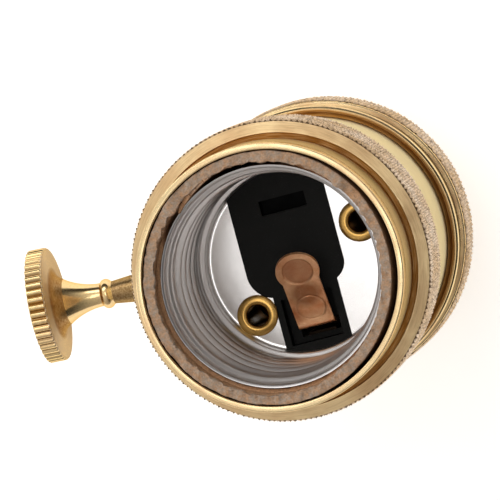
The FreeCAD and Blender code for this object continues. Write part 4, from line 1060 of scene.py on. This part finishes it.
class HOLDER_OT_knob(Operator):
    """Turn the knob with its stem, bead and trumpet, and rib its rim"""
    bl_idname = "holder.knob"
    bl_label = "Knob"

    def execute(self, context):
        size, shade = givens(context)
        start, end = -KNOB_INNER, -KNOB_OUTER
        crown, shoulder, radius, bore = 0.5 * MM, 0.35 * MM, 7.6 * MM, 1.25 * MM
        rim_end = end - crown
        rim_start = rim_end - 1.95 * MM
        face = rim_start - shoulder - 0.1 * MM
        bead_end = face - 6.1 * MM
        bead_start = bead_end - 1.5 * MM
        neck, trumpet = (1.55 * MM, bead_end + 0.05 * MM), (3.45 * MM, face - 0.75 * MM)
        rim_foot, flat = (radius - shoulder, face + 0.1 * MM), radius - 0.5 * MM
        outline = softened([
            (bore, start),
            (2.5 * MM, start, 0.15),
            (1.5 * MM, bead_start, 0.1),
        ])
        outline += arc((1.5 * MM, bead_start), (1.55 * MM, bead_end), 0.85 * MM, 1, 12)
        outline += [neck] + arc(neck, trumpet, 9.2 * MM, -1, 20)
        outline += arc(trumpet, (5.3 * MM, face + 0.04 * MM), 2.3 * MM, -1, 10)
        outline += [rim_foot] + arc(rim_foot, (radius, rim_start), shoulder, 1, 10)
        outline += [(radius, rim_start + k * 0.2 * MM) for k in range(1, 9)]
        outline += softened([(radius, rim_end - 0.2 * MM), (radius, rim_end, 0.22), (flat, rim_end)])[1:]
        outline += [(flat * math.cos(t), rim_end + crown * math.sin(t))
                    for t in [math.pi / 2 * k / 10 for k in range(1, 10)]]
        outline += [(0.0, end), (0.0, start + 5.4 * MM), (bore, start + 5.4 * MM)]
        knob = turned("knob_turned", outline, size.ribs * 12)
        # the stem darkened with painted shade, the inner face under its speckled film, and the trumpet's foot
        # below it in orange-brown painted shade
        stains_and_shades = (
            (start, bead_start - 0.1 * MM, 1.2 * MM, 3.0 * MM, shade.brass_dirt_and_shade, 0.8),
            (face - 0.5 * MM, rim_start - 0.1 * MM, 4.3 * MM, 7.4 * MM, shade.knob_face, 1.0),
            (face - 1.4 * MM, rim_start - 0.1 * MM, 2.3 * MM, 4.7 * MM, linear("#8A5820"), 0.85))
        brass = turned_brass("brass, turned and polished", shade.knob, shade.brass_warm, shade.brass_dirt_and_shade,
                             axis_x=True, crest=(radius - size.rib_depth, radius - 0.04 * MM),
                             stains_and_shades=stains_and_shades, roughness=0.16)
        run_tree(knob, rib_tree(), {
            "Ribs": size.ribs, "Depth": size.rib_depth, "Rim Start": face + 0.1 * MM,
            "Rim Full": rim_start - 0.1 * MM, "Smallest Radius": radius - 0.33 * MM, "Material": brass})
        knob.data.transform(ALONG_MINUS_X)
        fit_out(smooth(knob, 40), "knob", "knob_brass", brass, "knob")
        return {"FINISHED"}


class HOLDER_OT_inner_parts(Operator):
    """Finish the mouldings, the switch, the terminals and the screws"""
    bl_idname = "holder.inner_parts"
    bl_label = "Inner parts"

    def execute(self, context):
        shade = context.scene.holder_colours
        bronze, steel = linear("#B98A52"), linear("#B9BABC")
        # the front moulding's recesses are painted dark as painted shade
        black = moulded_thermoset("phenolic, moulded black with shaded recesses", shade.moulding,
                                  face=top_of("front_moulding").z)
        hidden_black = moulded_thermoset("phenolic, moulded black", shade.moulding)
        urea = moulded_thermoset("urea resin, moulded", linear("#D8D2C4"))
        fibre = vulcanised_fibre(shade.fibre, shade.fibre_edge, LINER_TOP)
        zinced = pressed_metal("steel, drawn and zinced", steel, darker(steel, 0.6), 0.3, 300.0,
                               (1.0, 20.0, 20.0))
        spring = pressed_metal("phosphor bronze, spring strip", bronze, darker(bronze, 0.5), 0.3, 400.0,
                               (8.0, 1.0, 1.0))
        oxidised = pressed_metal("phosphor bronze, oxidised strip", linear("#2C221A"), linear("#1A1410"),
                                 0.5, 400.0, (8.0, 1.0, 1.0))
        sawn = pressed_metal("brass, sawn bar", shade.brass, darker(shade.brass, 0.5), 0.35, 500.0,
                             (1.0, 1.0, 12.0))
        for material, names in (
                (black, ["front_moulding"]), (hidden_black, ["rear_moulding"]), (urea, ["rotor"]),
                (fibre, ["cap_disc"]), (spring, ["switch_leaf"]), (oxidised, ["fixed_contact"]),
                (sawn, ["live_terminal", "neutral_terminal"]),
                (zinced, ["spindle", "live_screw", "neutral_screw", "earth_screw", "earth_washer",
                          "grub_screw"])):
            for name in names:
                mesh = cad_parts[name].data
                mesh.materials.clear()
                mesh.materials.append(material)
        return {"FINISHED"}


# stage

CAMERA_PLACE = Vector((89.84, 35.25, 622.48)) * MM
CAMERA_FORWARD = Vector((-0.1642, -0.0563, -0.9848))
CAMERA_UP = Vector((0.1933, 0.9772, -0.0881))
CAMERA_LENS = 324.0
BRIGHT_SIDE = Vector((-0.55, 0.75, 0.37)).normalized()


class HOLDER_OT_stage(Operator):
    """Lay the pale floor, hang the soft lights and set up the camera"""
    bl_idname = "holder.stage"
    bl_label = "Stage"

    def execute(self, context):
        scene, shade = context.scene, context.scene.holder_colours
        half, level = 1.6, -0.02 * MM
        floor = object_from("stage_floor", [(x * half, y * half, level) for x, y in (
            (-1, -1), (1, -1), (1, 1), (-1, 1))], [(0, 1, 2, 3)])
        floor.data.materials.append(lit_acrylic(tuple(shade.floor), 0.66))

        # a room that is bright behind the left shoulder of the holder and dark at its right
        world = bpy.data.worlds.new("studio")
        world.use_nodes = True
        world.node_tree.nodes.clear()
        add = partial(add_node, world.node_tree)
        way = add("ShaderNodeTexCoord").outputs["Generated"]
        glow = None
        for side, run in ((BRIGHT_SIDE, (-0.6, 0.9, 0.42, 0.85)),
                          (Vector((1.0, -0.1, 0.0)), (0.05, 0.75, 1.0, 0.1)),
                          (Vector((0.0, 0.9, -0.4)), (0.3, 0.7, 1.0, 0.08))):
            lean = add("ShaderNodeVectorMath", (way, side), "DOT_PRODUCT")
            lit = add("ShaderNodeMapRange", (lean, *run), interpolation_type="SMOOTHSTEP")
            glow = add("ShaderNodeMath", (glow, lit), "MULTIPLY") if glow else lit
        sky = add("ShaderNodeBackground", {"Color": (1.0, 0.98, 0.96, 1.0), "Strength": glow})
        add("ShaderNodeOutputWorld", {"Surface": sky})
        scene.world = world
        scene.view_settings.view_transform = "Standard"

        target = Vector((0, 0, 50 * MM))
        for name, place, size, bright in (
                ("overhead", (-0.03, 0.08, 0.98), (0.24, 0.42), 1.9),
                ("window", (-0.25, 0.7, 0.72), (0.9, 0.34), 2.2),
                ("side", (-0.72, -0.1, 0.4), (0.3, 0.5), 0.7)):
            data = bpy.data.lights.new(name, "AREA")
            data.shape, data.size, data.size_y = "RECTANGLE", size[0], size[1]
            data.energy = bright * math.pi * size[0] * size[1]
            lamp = bpy.data.objects.new(name, data)
            lamp.location = place
            lamp.rotation_euler = (target - Vector(place)).to_track_quat("-Z", "Y").to_euler()
            scene.collection.objects.link(lamp)

        data = bpy.data.cameras.new("view")
        data.sensor_width, data.lens = 36.0, CAMERA_LENS
        data.clip_start, data.clip_end = 0.05, 20.0
        camera = bpy.data.objects.new("view", data)
        back = -CAMERA_FORWARD.normalized()
        right = CAMERA_UP.cross(back).normalized()
        up = back.cross(right)
        camera.matrix_world = Matrix.Translation(CAMERA_PLACE) @ Matrix((right, up, back)).transposed().to_4x4()
        scene.collection.objects.link(camera)
        scene.camera = camera
        return {"FINISHED"}


STEPS = (HOLDER_OT_barrel, HOLDER_OT_cap, HOLDER_OT_liner, HOLDER_OT_screw_shell, HOLDER_OT_contact,
         HOLDER_OT_eyelets, HOLDER_OT_knob, HOLDER_OT_inner_parts, HOLDER_OT_stage)


class HOLDER_PT_panel(Panel):
    """Sizes, colours and one button for each piece"""
    bl_idname = "HOLDER_PT_panel"
    bl_label = "Lamp holder"
    bl_space_type = "VIEW_3D"
    bl_region_type = "UI"
    bl_category = "Lamp holder"

    def draw(self, context):
        for group in (context.scene.holder_sizes, context.scene.holder_colours):
            box = self.layout.box()
            for key in group.__annotations__:
                box.prop(group, key)
        for step in STEPS:
            self.layout.operator(step.bl_idname)


CLASSES = (HolderSizes, HolderColours) + STEPS + (HOLDER_PT_panel,)


def register():
    for cls in CLASSES:
        bpy.utils.register_class(cls)
    bpy.types.Scene.holder_sizes = PointerProperty(type=HolderSizes)
    bpy.types.Scene.holder_colours = PointerProperty(type=HolderColours)


def unregister():
    del bpy.types.Scene.holder_colours
    del bpy.types.Scene.holder_sizes
    for cls in reversed(CLASSES):
        bpy.utils.unregister_class(cls)


def main():
    register()
    for step in STEPS:
        part, action = step.bl_idname.split(".")
        getattr(getattr(bpy.ops, part), action)()


if __name__ == "__main__":
    main()
